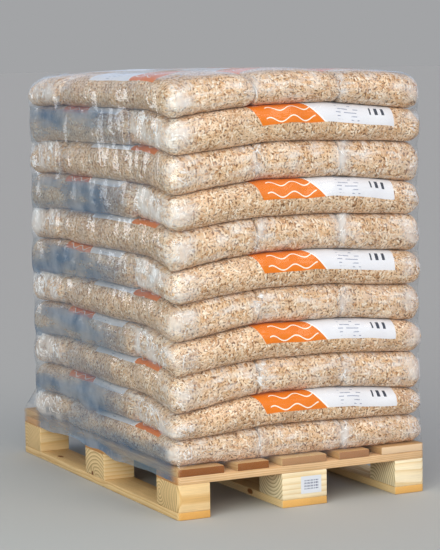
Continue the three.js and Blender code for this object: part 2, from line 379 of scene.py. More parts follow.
def board_mesh(low, high, radii):
    """Points and triangles of a board between two corners: outlines stacked from below to above."""
    low, high = np.array(low), np.array(high)
    centre = (low + high) / 2
    half = (high - low) / 2
    levels = [(0.0, EDGE_ROUND), (EDGE_MIDDLE, EDGE_MIDDLE), (EDGE_ROUND, 0.0)]
    heights = [(low[2] + up, inset) for up, inset in levels]
    heights += [(high[2] - up, inset) for up, inset in reversed(levels)]
    rings = []
    for height, inset in heights:
        inner_radii = [max(radius - inset, LEAST_CORNER) for radius in radii]
        ring = rounded_outline(half[0] - inset, half[1] - inset, inner_radii)
        rings.append(np.column_stack([ring + centre[:2], np.full(len(ring), height)]))
    count = len(rings[0])
    points = np.concatenate(rings + [[[*centre[:2], low[2]], [*centre[:2], high[2]]]])
    ring = np.arange(count)
    after = (ring + 1) % count
    faces = []
    for level in range(len(rings) - 1):
        here, above = level * count, (level + 1) * count
        faces.append(np.stack([here + ring, here + after, above + after], axis=1))
        faces.append(np.stack([here + ring, above + after, above + ring], axis=1))
    last = (len(rings) - 1) * count
    faces.append(np.stack([np.full(count, len(points) - 2), after, ring], axis=1))
    faces.append(np.stack([np.full(count, len(points) - 1), last + ring, last + after], axis=1))
    return points, np.concatenate(faces)


CORE_AWAY = (0.035, 0.09)
TRUNK_REACH = 20


def grain_of(points, fibre_axis, draw):
    """Grain coordinates of a board: along the fibres, then the two ways across, from the tree's core."""
    centre = (points.min(0) + points.max(0)) / 2
    local = points - centre
    across_axis = 1 - fibre_axis
    along = local[:, fibre_axis] + draw.uniform(-TRUNK_REACH, TRUNK_REACH)
    core_away = draw.uniform(*CORE_AWAY)
    core_turn = draw.uniform(0, 2 * np.pi)
    across = local[:, across_axis] + core_away * np.cos(core_turn)
    up = local[:, 2] + core_away * np.sin(core_turn)
    return np.stack([along, across, up], axis=1)


print("the tree's core lies", CORE_AWAY[0], "to", CORE_AWAY[1], "m from the middle of a board")

# %% Make the twenty pieces of the pallet
OUTER_CORNER = 0.012
LITTLE_CORNER = 0.0025
FIRST_SEED = 19390
X_AXIS, Y_AXIS = 0, 1
# The share of one paler colour on some of the deck's ends, most on the right one
PALER_ENDS = {"deck_board_centre": 0.22, "deck_board_inner_right": 0.16, "deck_board_right": 0.80}


def corner_radii(name):
    """The pallet's four outer corners are cut round, so tines and hands don't catch on them."""
    left, right = name.endswith("left"), name.endswith("right")
    front, rear = "front" in name, "rear" in name
    if "inner" in name or "centre" in name or "middle" in name:
        return [LITTLE_CORNER] * 4
    if name.startswith("stringer"):
        left = right = True
    if name.startswith(("skid", "deck")):
        front = rear = True
    wanted = [right and rear, left and rear, left and front, right and front]
    return [OUTER_CORNER if want else LITTLE_CORNER for want in wanted]


pallet_nodes = [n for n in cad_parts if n.startswith(("skid", "stringer", "deck", "block"))]
for number, name in enumerate(sorted(pallet_nodes)):
    draw = np.random.default_rng(FIRST_SEED + number)
    kind = name.split("_")[0]
    points, faces = board_mesh(*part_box(name), corner_radii(name))
    fibre_axis = X_AXIS if kind in ("stringer", "block") else Y_AXIS
    attributes = {
        "grain": grain_of(points, fibre_axis, draw),
        "tone": np.full(len(points), draw.uniform(0, 1)),
        "fibre": np.tile(np.eye(3)[fibre_axis], (len(points), 1)),
        "paler": np.full(len(points), PALER_ENDS.get(name, 0.0)),
    }
    piece = add_piece(f"pine_{name}", points, faces, WOODS[kind], attributes=attributes)
    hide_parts(name)
    piece.data.set_sharp_from_angle(angle=math.radians(50))
print("the pallet has", len(pallet_nodes), "pieces of pine")

# %% [markdown]
# ## The shape of the load
# Each layer of bags lies on the one below. The layers are a little thinner at the bottom of the stack,
# where they carry more, and they droop towards the sides of the load. A bag is worked out in two steps.
# First comes a lofted pillow with flat seals at its ends. Then its height at each point is fitted
# between the face of the layer below and the face above, so no bag cuts into another.

# %% Faces between the layers
# Heights of the layers, and how far their faces hang at the sides, the ends and the corners
LAYERS = 11
FIRST_LAYER = 0.096
LAYER_GROWTH = 0.010 / 9
TOP_LAYER = 0.095
SIDE_DROOP = 0.018
END_DROOP = 0.008
LEFT_CORNER_DROOP = 0.028
OTHER_CORNER_DROOP = 0.006
END_BAG_DROOP = 0.006
DROOP_START = 0.09
END_DROOP_REACH = 0.23
SIDE_DROOP_POWER, END_DROOP_POWER = 1.25, 1.7
# The droop goes on a little way past the sides and the ends, where the bags bulge
DROOP_MOST = 1.05
# The layers that droop more or less than the others
LAYER_DROOP = {1: 0.62, 2: 1.1, LAYERS: 0.85}
# From the middle of one bag to the next one beside it, and from a bag to the face it lies on
BAG_PITCH = 0.268
LAYER_GAP = 0.0004
ROLL, ROLL_LENGTHS, ROLL_SEEDS = 0.0022, (0.25, 0.6), 300

DECK_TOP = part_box("deck_board_centre")[1].z
LOAD_HALF_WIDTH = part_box("bags_along_01")[1].x
LOAD_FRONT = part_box("bags_along_01")[0].y
LOAD_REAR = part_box("bag_across_01")[1].y


def face_height(layer, x, y):
    """Height of the top of a layer: the layers' sum, less a droop towards sides, ends and corners.

    The corners hang lowest, and more so on top of a bag that lies across, whose ends are thin. The
    lowest layer lies on the deck and droops less. Inside the stack the face also rolls a little.
    """
    if layer == 0:
        return np.full(np.broadcast(x, y).shape, DECK_TOP)
    rise = layer * FIRST_LAYER + LAYER_GROWTH * layer * (layer - 1) / 2
    if layer == LAYERS:
        rise += TOP_LAYER - FIRST_LAYER - LAYER_GROWTH * (layer - 1)
    side_share = (np.abs(x) - DROOP_START) / (LOAD_HALF_WIDTH - DROOP_START)
    end_share = 1 - np.minimum(y - LOAD_FRONT, LOAD_REAR - y) / END_DROOP_REACH
    to_side = np.clip(side_share, 0, DROOP_MOST) ** SIDE_DROOP_POWER
    to_end = np.clip(end_share, 0, DROOP_MOST) ** END_DROOP_POWER
    at_front = y < (LOAD_FRONT + LOAD_REAR) / 2
    corner = np.where(at_front & (x < 0), LEFT_CORNER_DROOP, OTHER_CORNER_DROOP)
    across_below = np.where(at_front, 1, -1) * (1 if layer % 2 == 0 else -1)
    corner = corner + END_BAG_DROOP * across_below
    droop = SIDE_DROOP * to_side + END_DROOP * to_end + corner * to_side * to_end
    droop = LAYER_DROOP.get(layer, 1.0) * droop
    if layer == LAYERS:
        return DECK_TOP + rise - droop
    place = np.stack(np.broadcast_arrays(x, y), axis=-1)
    return DECK_TOP + rise - droop + ROLL * waves(place, *ROLL_LENGTHS, ROLL_SEEDS + layer)


print("the load is", round(float(face_height(LAYERS, 0, 0)) - DECK_TOP, 3), "m high")

# %% Outline of a bag
QUARTER = 21
AROUND = 4 * QUARTER
# Each radian of turn counts like this many metres of way when the points are spaced
CORNER_POINTS = 0.035
CURVE_STEPS = 400
# A side that bulges more than this is free, and one that bulges less is pressed against a neighbour
FREE_DEPTH = 0.03
ROUND_POWER, SQUARE_POWER = 2.0, 3.0


def bag_section(left, right, left_depth, right_depth):
    """The bag cut across, as x in metres and z from -1 to 1, in four quarters with as many points each.

    The top and the bottom are flat. The sides are half ellipses of the given depth, and squarer where
    the bag is pressed against its neighbour. The points run from the middle of the bottom to the left.
    They are spaced by the way walked plus a share of the turn made, so they crowd at the corners.
    """
    angle = np.linspace(0, np.pi / 2, CURVE_STEPS)
    halves = []
    for half, depth in ((left, left_depth), (right, right_depth)):
        power = ROUND_POWER if depth > FREE_DEPTH else SQUARE_POWER
        x = np.concatenate([[0], half - depth + depth * np.sin(angle) ** (2 / power)])
        z = np.concatenate([[1], np.cos(angle) ** (2 / power)])
        move = np.stack([np.diff(x), np.diff(z) * FIRST_LAYER / 2])
        turning = np.abs(np.diff(np.arctan2(move[1], move[0]), prepend=0.0))
        walked = np.concatenate([[0], np.cumsum(np.hypot(*move) + CORNER_POINTS * turning)])
        even = np.linspace(0, walked[-1], QUARTER + 1)
        halves.append((np.interp(even, walked, x), np.interp(even, walked, z)))
    (left_x, left_z), (right_x, right_z) = halves
    x = np.concatenate([-left_x, -left_x[::-1][1:], right_x[1:], right_x[::-1][1:-1]])
    z = np.concatenate([-left_z, left_z[::-1][1:], right_z[1:], -right_z[::-1][1:-1]])
    return x, z


def corner_pull(from_end, half, radius):
    """How far the sides pull in at a distance from the end: a quarter circle of the given radius."""
    inside = np.clip(radius - from_end, 0, radius)
    return (half - radius + np.sqrt(radius ** 2 - inside ** 2)) / half


print("a bag has", AROUND, "points round it")

# %% Lumps and folds of the film
LUMP, LUMP_LENGTHS = 0.0032, (0.06, 0.24)
# The share of the lumps that is left on a bag's flat faces and on its pressed sides
FLAT_LUMPS, PRESSED_LUMPS = 0.10, 0.15
FOLD, FOLD_LENGTHS, FOLD_SEEDS = 0.0028, (0.022, 0.045), 5000
FOLD_STRETCH = [0.16, 1.0, 1.0]
PATCH_LENGTHS, PATCH_SEEDS = (0.05, 0.2), 7000
END_FOLD_REACH = 0.055
SIDE_FOLD_REACH = 0.045
SEAL_HELD = 0.012


def film_relief(local, section, up, half, depth, from_end, seed):
    """Relief of the film along its normal in metres, and its share of creases and painted sheen, 0 to 1.

    Lumps show where the bag bulges freely. Folds run along the bag and fade away from its ends as
    e^(-distance / reach). Creases are most beside the seals and on top of the ends, where the
    material paints a white sheen for their highlights.
    """
    section_x, section_z = section
    bulging = np.clip((1 - np.abs(section_z)) * 3.0, FLAT_LUMPS, 1)
    bulging = bulging * np.where(depth < FREE_DEPTH, PRESSED_LUMPS, 1.0)
    near_end = np.exp(-from_end / END_FOLD_REACH)[:, None] * np.ones_like(local[..., 1])
    near_side = np.exp((np.abs(section_x) - half) / SIDE_FOLD_REACH)
    exposed = np.maximum(bulging, np.clip(near_end * 1.4 - 0.2, 0, 1) * np.clip(2 - 2 * np.abs(up), 0, 1))
    lumps = waves(local, *LUMP_LENGTHS, seed) * LUMP * exposed
    folds = waves(local * FOLD_STRETCH, *FOLD_LENGTHS, seed + FOLD_SEEDS) * FOLD * near_end
    inside = np.clip(from_end / SEAL_HELD, 0, 1)[:, None]
    patchy = np.clip(0.5 + 0.9 * waves(local, *PATCH_LENGTHS, seed + PATCH_SEEDS), 0, 1)
    # More creases on the upper half near the ends, and so more painted white sheen there
    upper_creases_and_sheen = np.clip(up * 1.5, 0, 1) * np.clip(2.4 * patchy - 0.9, 0, 1)
    creased_and_sheen = np.clip(near_end * (0.32 + 0.9 * near_side * patchy + upper_creases_and_sheen) + 0.15 * patchy, 0, 1)
    return (lumps + folds) * inside, creased_and_sheen


print("lumps up to about", LUMP * 1000, "mm and folds up to about", FOLD * 1000, "mm")

# %% Surface of a bag
END_RINGS = 12
ALONG = 84
END_DEPTH = 0.050
END_POWER = 2.2
CROWN, CROWN_POWER = 0.010, 2.5
CROWN_REACH = 0.16


def rings_along(length):
    """Places of the rings along a bag, closer at its ends: d (1 - cos a), a from 0 to a quarter turn."""
    bend = np.linspace(0, np.pi / 2, END_RINGS + 1)
    first = END_DEPTH * (1 - np.cos(bend))
    middle = np.linspace(END_DEPTH, length - END_DEPTH, ALONG - 2 * END_RINGS)
    return np.concatenate([first[:-1], middle, length - first[:-1][::-1]]) - length / 2


def bag_surface(layer, length, sides, place, seed):
    """Points of a bag, as rings along it, and the share of creases and painted sheen at each of them.

    sides holds the half width, bulge depth and corner radius of the left and of the right side. The
    height falls to the flat seal at each end as h^n + d^n = 1, with d from 1 at the seal to 0. The
    film's relief is then added along the normal.
    """
    (left, left_depth, left_corner), (right, right_depth, right_corner) = sides
    along = rings_along(length)
    from_end = length / 2 - np.abs(along)
    close = 1 - np.clip(from_end / END_DEPTH, 0, 1)
    height = (1 - close ** END_POWER) ** (1 / END_POWER)
    section_x, section_z = bag_section(left, right, left_depth, right_depth)
    half = np.where(section_x < 0, left, right)
    left_pull = corner_pull(from_end, left, left_corner)[:, None]
    right_pull = corner_pull(from_end, right, right_corner)[:, None]
    across = section_x * np.where(section_x < 0, left_pull, right_pull)
    up = height[:, None] * section_z
    x, y = place(along[:, None], across)
    low = face_height(layer - 1, x, y) + LAYER_GAP
    high = face_height(layer, x, y)
    if layer == LAYERS:
        # Nothing lies on the top bags, so they are crowned between their sides and their ends
        to_end = (1 - np.clip(from_end / CROWN_REACH, 0, 1))[:, None]
        high = high - CROWN * ((np.abs(section_x) / half) ** CROWN_POWER + to_end ** 2)
    points = np.stack([x, y, low + (high - low) * (1 + up) / 2], axis=-1)

    local = np.stack([along[:, None] + 0 * across, across, up * FIRST_LAYER / 2], axis=-1)
    depth = np.where(section_x < 0, left_depth, right_depth)
    relief, creased_and_sheen = film_relief(local, (section_x, section_z), up, half, depth, from_end, seed)
    return points + grid_normals(points) * relief[..., None], local, creased_and_sheen


def grid_normals(points):
    """Outward unit normals of a closed tube of rings: the cross product of the two grid directions."""
    round_step = np.roll(points, -1, axis=1) - np.roll(points, 1, axis=1)
    along_step = np.gradient(points, axis=0)
    normal = np.cross(round_step, along_step)
    return normal / np.maximum(np.linalg.norm(normal, axis=2, keepdims=True), 1e-9)


print("a bag has", ALONG, "rings along it")

# %% Faces of a bag


def tube_faces():
    """Quads of the tube. On the first and last ring the lower points are those above them, which
    closes the seal without a gap."""
    ring = np.arange(AROUND)
    shut = ring.copy()
    shut[:QUARTER] = 2 * QUARTER - ring[:QUARTER]
    shut[3 * QUARTER + 1:] = 6 * QUARTER - ring[3 * QUARTER + 1:]
    index = np.arange(ALONG * AROUND).reshape(ALONG, AROUND)
    index[0] = shut
    index[-1] = (ALONG - 1) * AROUND + shut
    after = np.roll(index, -1, axis=1)
    quads = np.stack([index[:-1], after[:-1], after[1:], index[1:]], axis=-1)
    return quads.reshape(-1, 4)


BAG_FACES = tube_faces()
print("a bag has", len(BAG_FACES), "faces")

# %% Maps of a bag's film
ENDWARDS = 0.66
MAP_SEEDS, MAP_REACH = 9000, 40


def film_maps(points, local, seed, rolled):
    """Two maps of the bag's film in metres, for its print and for the pellets behind it.

    In both, u runs along the bag from its head end, and v is the distance round it from the top, which
    the print measures on each ring and the pellets on the ring in the middle. The ends of the bag face
    along it, so there the pellets lie on a plain map of across and up. They start at a random place. A
    bag that is rolled back a little shows less of its print at its side.
    """
    draw = np.random.default_rng(seed + MAP_SEEDS)
    points = np.concatenate([points, points[:, :1]], axis=1)
    local = np.concatenate([local, local[:, :1]], axis=1)
    step = np.linalg.norm(np.diff(points, axis=1), axis=2)
    v = np.concatenate([np.zeros((ALONG, 1)), np.cumsum(step, axis=1)], axis=1)
    v = v - v[:, AROUND // 2][:, None]
    u = local[..., 0] - local[0, 0, 0]

    def corners(*parts):
        grid = np.stack(parts, axis=-1)
        return np.stack([grid[:-1, :-1], grid[:-1, 1:], grid[1:, 1:], grid[1:, :-1]], axis=2)

    middle_v = np.broadcast_to(v[ALONG // 2], v.shape)
    box = corners(*np.moveaxis(local, -1, 0))
    normal = np.cross(box[:, :, 2] - box[:, :, 0], box[:, :, 3] - box[:, :, 1])
    normal /= np.maximum(np.linalg.norm(normal, axis=-1, keepdims=True), 1e-12)
    faces_along = np.abs(normal[..., 0]) > ENDWARDS
    pellets = np.where(faces_along[..., None, None], box[..., 1:], corners(u, middle_v))
    pellets = pellets + draw.uniform(0, MAP_REACH, 2)
    return {"print": corners(u, v + rolled).reshape(-1, 2), "pellets": pellets.reshape(-1, 2)}


print("a film has two maps, for its print and for the pellets behind it")


# %% [markdown]
# ## What fills the bags
# Wood pellets are pressed sticks of sawdust, about 6 mm thick and 10 to 25 mm long. They lie flat against
# the clear film, in all directions. Modelling millions of them is out of the question, so the material
# lays them on the film: three layers of scattered points, each with a small rod at a random angle. A rod
# is the distance to a short line, and its round back comes from the same distance. The film over them is
# a coat with creases of its own. The label is printed on it: an orange and a white panel with plain waves
# and bars.

# %% One layer of pellets
# Half a pellet's thickness, and half its length less half of its round end
PELLET_RADIUS = 0.0028
PELLET_HALF = 0.0056
# A pellet hides what lies below it where its back is higher than this share of its radius
LOWEST_BACK = 0.12


def pellet_layer(tree, film, spacing, share, start):
    """One layer of pellets: (is there one, height of its round back, a random number for its colour).

    The distance r to a short line at a random angle gives the back's height as the root of 1 - r^2.
    """
    place = node(tree, "Mapping", {}, {
        "Vector": film, "Location": start, "Scale": (1 / spacing, 1 / spacing, 1.0)})
    cells = node(tree, "TexVoronoi", {"voronoi_dimensions": "2D", "feature": "F1"}, {
        "Vector": place, "Scale": 1.0, "Randomness": 1.0})
    chance = node(tree, "SeparateColor", {}, {"Color": cells.outputs["Color"]})
    from_middle = node(tree, "VectorMath", {"operation": "SUBTRACT"}, {
        0: place, 1: cells.outputs["Position"]})
    turn = node(tree, "Math", {"operation": "MULTIPLY"}, {0: chance.outputs["Red"], 1: math.pi})
    turned = node(tree, "VectorRotate", {"rotation_type": "Z_AXIS"}, {
        "Vector": from_middle, "Angle": turn})
    parts = node(tree, "SeparateXYZ", {}, {"Vector": turned})
    length = node(tree, "Math", {"operation": "ABSOLUTE"}, {0: parts.outputs["X"]})
    past_end = node(tree, "Math", {"operation": "SUBTRACT", "use_clamp": True}, {
        0: length, 1: (PELLET_HALF - PELLET_RADIUS * 0.5) / spacing})
    to_line = node(tree, "CombineXYZ", {}, {"X": past_end, "Y": parts.outputs["Y"]})
    distance = node(tree, "VectorMath", {"operation": "LENGTH"}, {0: to_line})
    share_out = node(tree, "Math", {"operation": "MULTIPLY"}, {0: distance, 1: spacing / PELLET_RADIUS})
    squared = node(tree, "Math", {"operation": "POWER"}, {0: share_out, 1: 2.0})
    left = node(tree, "Math", {"operation": "SUBTRACT", "use_clamp": True}, {0: 1.0, 1: squared})
    back = node(tree, "Math", {"operation": "SQRT"}, {0: left})
    kept = node(tree, "Math", {"operation": "LESS_THAN"}, {0: chance.outputs["Blue"], 1: share})
    height = node(tree, "Math", {"operation": "MULTIPLY"}, {0: back, 1: kept})
    present = node(tree, "Math", {"operation": "GREATER_THAN"}, {0: height, 1: LOWEST_BACK})
    return present, height, chance.outputs["Green"]


print("pellets are drawn", PELLET_RADIUS * 2000, "mm wide")

# %% A heap of pellets
# Each layer: the pellets' spacing, the share of its places that hold one, and where its pattern starts
PELLET_LAYERS = [
    (0.0078, 1.01, (0.0, 0.0, 0.0)),
    (0.0092, 0.85, (3.7, 8.1, 0.0)),
    (0.0104, 0.70, (7.3, 2.9, 0.0)),
]
PELLET_COLOURS = [(0.0, "#B27E50"), (0.12, "#D4A77C"), (0.5, "#E5C09A"), (0.8, "#EED1B1"), (1.0, "#F9E7D3")]
# Where no pellet lies on top, the gap is painted this dark brown: painted shade between the pellets
SHADED_GAP_BROWN = "#835A36"
# Painted light and shade of a pellet: what its round back adds, what its edge has, and what each layer adds
BACK_LIGHT, EDGE_LIGHT, LAYER_LIGHT = 0.36, 0.64, 0.04
# The height of a pellet: what its back adds, and what each layer adds
BACK_RISE, LAYER_RISE = 0.6, 0.2


def pellet_colours(tree, film):
    """Colour and height of the heap of pellets behind the film, built up layer by layer, with painted
    shade.
    """
    colour = linear(SHADED_GAP_BROWN)
    heap = 0.0
    for number, (spacing, share, start) in enumerate(PELLET_LAYERS):
        present, back, chance = pellet_layer(tree, film, spacing, share, start)
        wood = node(tree, "ValToRGB", {}, {"Fac": chance})
        set_stops(wood, PELLET_COLOURS)
        # Painted shade: a pellet is darker at its edge than on its round back, and darker on the lower
        # layers
        painted_light = node(tree, "Math", {"operation": "MULTIPLY_ADD"}, {
            0: back, 1: BACK_LIGHT, 2: EDGE_LIGHT + LAYER_LIGHT * number})
        shaded = node(tree, "VectorMath", {"operation": "SCALE"}, {0: wood, "Scale": painted_light})
        colour = node(tree, "Mix", {"data_type": "RGBA"}, {"Factor": present, "A": colour, "B": shaded})
        level = node(tree, "Math", {"operation": "MULTIPLY_ADD"}, {
            0: back, 1: BACK_RISE, 2: LAYER_RISE * number})
        heap = node(tree, "Mix", {"data_type": "FLOAT"}, {"Factor": present, "A": heap, "B": level})
    return colour, heap


print("the heap has", len(PELLET_LAYERS), "layers of pellets")

# %% [markdown]
# ## The printed label
# A film printer lays flat inks side by side, so a label is a set of masks. A mask is 1 where a place on
# the film lies between two values, and each ink is mixed over the colour below it by its mask.

# %% Masks
# Stands for a side of a mask that has no limit
NO_LIMIT = 9.0


def between(tree, value, low, high):
    """1 where the value lies between low and high, and 0 elsewhere."""
    above = node(tree, "Math", {"operation": "GREATER_THAN"}, {0: value, 1: low})
    below = node(tree, "Math", {"operation": "LESS_THAN"}, {0: value, 1: high})
    return node(tree, "Math", {"operation": "MULTIPLY"}, {0: above, 1: below})


def all_of(tree, *values):
    """The product of several masks: 1 where all of them are 1."""
    total = values[0]
    for value in values[1:]:
        total = node(tree, "Math", {"operation": "MULTIPLY"}, {0: total, 1: value})
    return total


print("masks: between two values, and all of several")

# %% Panels of the label
# Places along the bag from its head end, and round it from its top
LABEL_START, LABEL_SPLIT, LABEL_END = 0.283, 0.472, 0.716
LABEL_BACK, LABEL_DOWN = -0.130, 0.173
# How far the print bends towards the head end, and where round the bag the bend starts
LABEL_SHIFT, SHIFT_END = 0.135, 0.08
# Where round the bag the slanted edges cross their places, and how far above that the slant ends
LABEL_MIDDLE, TOP_OF_SLANT = 0.155, -0.05
START_SLANT, SPLIT_SLANT = 0.50, 0.90
EDGE_WIDTH = 0.006


def label_panels(tree, u, v):
    """Masks of the whole label, its orange part and the line that ends the orange, and the bent u.

    The print curves towards the head end on its way over the bag, and its edges slant on the near side.
    """
    over = node(tree, "MapRange", {"interpolation_type": "SMOOTHSTEP"}, {
        "Value": v, "From Min": LABEL_BACK, "From Max": SHIFT_END, "To Min": LABEL_SHIFT, "To Max": 0.0})
    u = node(tree, "Math", {"operation": "ADD"}, {0: u, 1: over})
    below = node(tree, "Math", {"operation": "SUBTRACT"}, {0: v, 1: LABEL_MIDDLE})
    near_side = node(tree, "Math", {"operation": "MAXIMUM"}, {0: below, 1: TOP_OF_SLANT})
    start = node(tree, "Math", {"operation": "MULTIPLY_ADD"}, {0: near_side, 1: -START_SLANT, 2: u})
    split = node(tree, "Math", {"operation": "MULTIPLY_ADD"}, {0: near_side, 1: -SPLIT_SLANT, 2: u})
    panel = all_of(tree, between(tree, v, LABEL_BACK, LABEL_DOWN),
                   between(tree, start, LABEL_START, NO_LIMIT), between(tree, u, 0.0, LABEL_END))
    orange = all_of(tree, panel, between(tree, split, -NO_LIMIT, LABEL_SPLIT))
    edge = all_of(tree, panel, between(tree, split, LABEL_SPLIT, LABEL_SPLIT + EDGE_WIDTH))
    return panel, orange, edge, u


print("the label is", round(LABEL_END - LABEL_START, 3), "m long")

# %% Waves and bars of the label
WAVE_LENGTH, WAVE_HEIGHT, WAVE_SPACING = 0.074, 0.0075, 0.0165
WAVE_LINE, WAVES_UP = 0.0019, 0.005
WAVES_START, WAVES_END = LABEL_START + 0.022, LABEL_SPLIT - 0.012
BAR_SPACING, BAR_HALF = 0.0055, 0.0014
BARS_START, BARS_END = LABEL_SPLIT + 0.055, LABEL_END - 0.115
# A noise breaks the rows into bars about 14 mm long, which are there where it is above a value
BAR_BREAKS, BARS_ABOVE = (70.0, 95.0, 1.0), 0.47
DARK_BAR_SPACING, DARK_BAR_HALF = 0.011, 0.0052
DARK_START, DARK_END = LABEL_END - 0.078, LABEL_END - 0.030
DARK_HIGH, DARK_LOW = 0.122, 0.144


def label_lines(tree, film, u, v):
    """Masks of the waves, the rows of pale bars and the three dark bars.

    A wave is where v plus a sine of u, folded back at each spacing, is under half a line's width.
    """
    wave_phase = node(tree, "Math", {"operation": "MULTIPLY"}, {0: u, 1: 2 * math.pi / WAVE_LENGTH})
    swing = node(tree, "Math", {"operation": "SINE"}, {0: wave_phase})
    raised = node(tree, "Math", {"operation": "ADD"}, {0: v, 1: WAVES_UP})
    waved = node(tree, "Math", {"operation": "MULTIPLY_ADD"}, {0: swing, 1: WAVE_HEIGHT, 2: raised})
    repeated = node(tree, "Math", {"operation": "PINGPONG"}, {0: waved, 1: WAVE_SPACING})
    wave_lines = all_of(tree, between(tree, repeated, -NO_LIMIT, WAVE_LINE),
                        between(tree, u, WAVES_START, WAVES_END))

    bar_rows = node(tree, "Math", {"operation": "PINGPONG"}, {0: v, 1: BAR_SPACING})
    break_place = node(tree, "VectorMath", {"operation": "MULTIPLY"}, {0: film, 1: BAR_BREAKS})
    breaks = node(tree, "TexNoise", {"noise_dimensions": "2D"}, {
        "Vector": break_place, "Scale": 1.0, "Detail": 0.0})
    bars = all_of(tree, between(tree, bar_rows, -NO_LIMIT, BAR_HALF),
                  between(tree, breaks, BARS_ABOVE, NO_LIMIT), between(tree, u, BARS_START, BARS_END))
    dark_columns = node(tree, "Math", {"operation": "PINGPONG"}, {0: u, 1: DARK_BAR_SPACING})
    dark_bars = all_of(tree, between(tree, dark_columns, -NO_LIMIT, DARK_BAR_HALF),
                       between(tree, u, DARK_START, DARK_END), between(tree, v, DARK_HIGH, DARK_LOW))
    return wave_lines, bars, dark_bars


print("waves", WAVE_LENGTH, "m long, rows of bars", 2 * BAR_SPACING, "m apart")

# %% Inks of the label


def label_print(tree, under):
    """The printed label over the colour below it: (colour with the label, where the label is)."""
    film = node(tree, "UVMap", {"uv_map": "print"}, {})
    parts = node(tree, "SeparateXYZ", {}, {"Vector": film})
    panel, orange, edge, u = label_panels(tree, parts.outputs["X"], parts.outputs["Y"])
    wave_lines, bars, dark_bars = label_lines(tree, film, u, parts.outputs["Y"])
    inks = [(panel, "#E9E9F0"), (all_of(tree, panel, bars), "#9EA3B8"),
            (all_of(tree, panel, dark_bars), "#3C3E4A"), (orange, "#EC7C00"),
            (all_of(tree, orange, wave_lines), "#FFF3E4"), (edge, "#FFFFFF")]
    colour = under
    for mask, ink in inks:
        colour = node(tree, "Mix", {"data_type": "RGBA"}, {
            "Factor": mask, "A": colour, "B": linear(ink)})
    return colour, panel


print("the label is printed in six inks")

# %% Pellet bag material
# Scales are in waves a metre: changes of tone are about 70 mm wide, veils 60 by 17 mm, creases 24 mm
TONE_SCALE = 14.0
VEIL_SCALE = (16.0, 60.0, 1.0)
CREASE_SCALE = 42.0
VEIL_MOST = 0.62
VEIL_GAIN, LEAST_VEIL = 1.1, 0.02
# White of milky film and of a painted sheen that stands in for the highlights of the creases
MILK_AND_SHEEN_WHITE = "#FBF6F4"
PELLET_RELIEF = 0.0014
CREASE_RELIEF = 0.0026


def pellet_bag_material():
    """Clear polyethylene film over wood pellets: glossy, white at its creases with milk and painted sheen,
    matt under the print.
    """
    material, tree = new_material("printed_clear_film_over_pellets")
    film = node(tree, "UVMap", {"uv_map": "pellets"}, {})
    creased_and_sheen = node(tree, "Attribute", {"attribute_name": "creased_and_sheen"}, {}).outputs["Fac"]
    colour, heap = pellet_colours(tree, film)

    # Slow changes of tone, from dust and from how the pellets settled
    tone = node(tree, "TexNoise", {"noise_dimensions": "2D"}, {
        "Vector": film, "Scale": TONE_SCALE, "Detail": 3.0})
    tone_range = node(tree, "MapRange", {}, {
        "Value": tone, "From Min": 0.3, "From Max": 0.7, "To Min": 0.90, "To Max": 1.08})
    toned = node(tree, "VectorMath", {"operation": "SCALE"}, {0: colour, "Scale": tone_range})

    # Where the film has creases it is milky, and the white there is also a painted sheen for their
    # highlights
    veil_place = node(tree, "VectorMath", {"operation": "MULTIPLY"}, {0: film, 1: VEIL_SCALE})
    veil_noise = node(tree, "TexNoise", {"noise_dimensions": "2D"}, {
        "Vector": veil_place, "Scale": 1.0, "Detail": 4.0, "Roughness": 0.6})
    veil_range = node(tree, "MapRange", {}, {
        "Value": veil_noise, "From Min": 0.42, "From Max": 0.68, "To Min": 0.0, "To Max": VEIL_MOST})
    veil_share = node(tree, "Math", {"operation": "MULTIPLY_ADD", "use_clamp": True}, {
        0: creased_and_sheen, 1: VEIL_GAIN, 2: LEAST_VEIL})
    milk_and_sheen = node(tree, "Math", {"operation": "MULTIPLY"}, {0: veil_range, 1: veil_share})
    milky_sheened_colour = node(tree, "Mix", {"data_type": "RGBA"}, {
        "Factor": milk_and_sheen, "A": toned, "B": linear(MILK_AND_SHEEN_WHITE)})
    printed, panel = label_print(tree, milky_sheened_colour)

    # The pellets push through the film a little, less under the print
    free = node(tree, "MapRange", {}, {"Value": panel, "To Min": 1.0, "To Max": 0.35})
    heap_bump = node(tree, "Bump", {}, {"Strength": free, "Distance": PELLET_RELIEF, "Height": heap})
    crease_noise = node(tree, "TexNoise", {"noise_dimensions": "2D"}, {
        "Vector": film, "Scale": CREASE_SCALE, "Detail": 4.0, "Roughness": 0.55, "Distortion": 0.6})
    crease_height = node(tree, "Math", {"operation": "MULTIPLY_ADD"}, {
        0: veil_noise, 1: creased_and_sheen, 2: crease_noise})
    film_bump = node(tree, "Bump", {}, {
        "Strength": 1.0, "Distance": CREASE_RELIEF, "Height": crease_height})
    rough = node(tree, "MapRange", {}, {"Value": panel, "To Min": 0.72, "To Max": 0.5})
    surface = node(tree, "BsdfPrincipled", {}, {
        "Base Color": printed, "Roughness": rough, "Normal": heap_bump, "Specular IOR Level": 0.12,
        "Coat Weight": 0.35, "Coat Roughness": 0.12, "Coat IOR": 1.42, "Coat Normal": film_bump})
    node(tree, "OutputMaterial", {}, {"Surface": surface})
    return material


pellet_bags = pellet_bag_material()
print("the pellet bag material has", len(pellet_bags.node_tree.nodes), "nodes")

# %% [markdown]
# ## Stack the bags
# Layers with an odd number have three bags with their heads at the front and one across the rear. The
# even ones are the same layer turned half a turn, so the joints never line up. A bag is described in its
# own directions: along it from the head end, and across it to the side where the label hangs down.

# %% A bag in its place


def bag_frame(centre, along_direction, across_direction):
    """Turns places along and across a bag into x and y of the load."""

    def place(along, across):
        x = centre[0] + along * along_direction[0] + across * across_direction[0]
        y = centre[1] + along * along_direction[1] + across * across_direction[1]
        return x, y

    return place


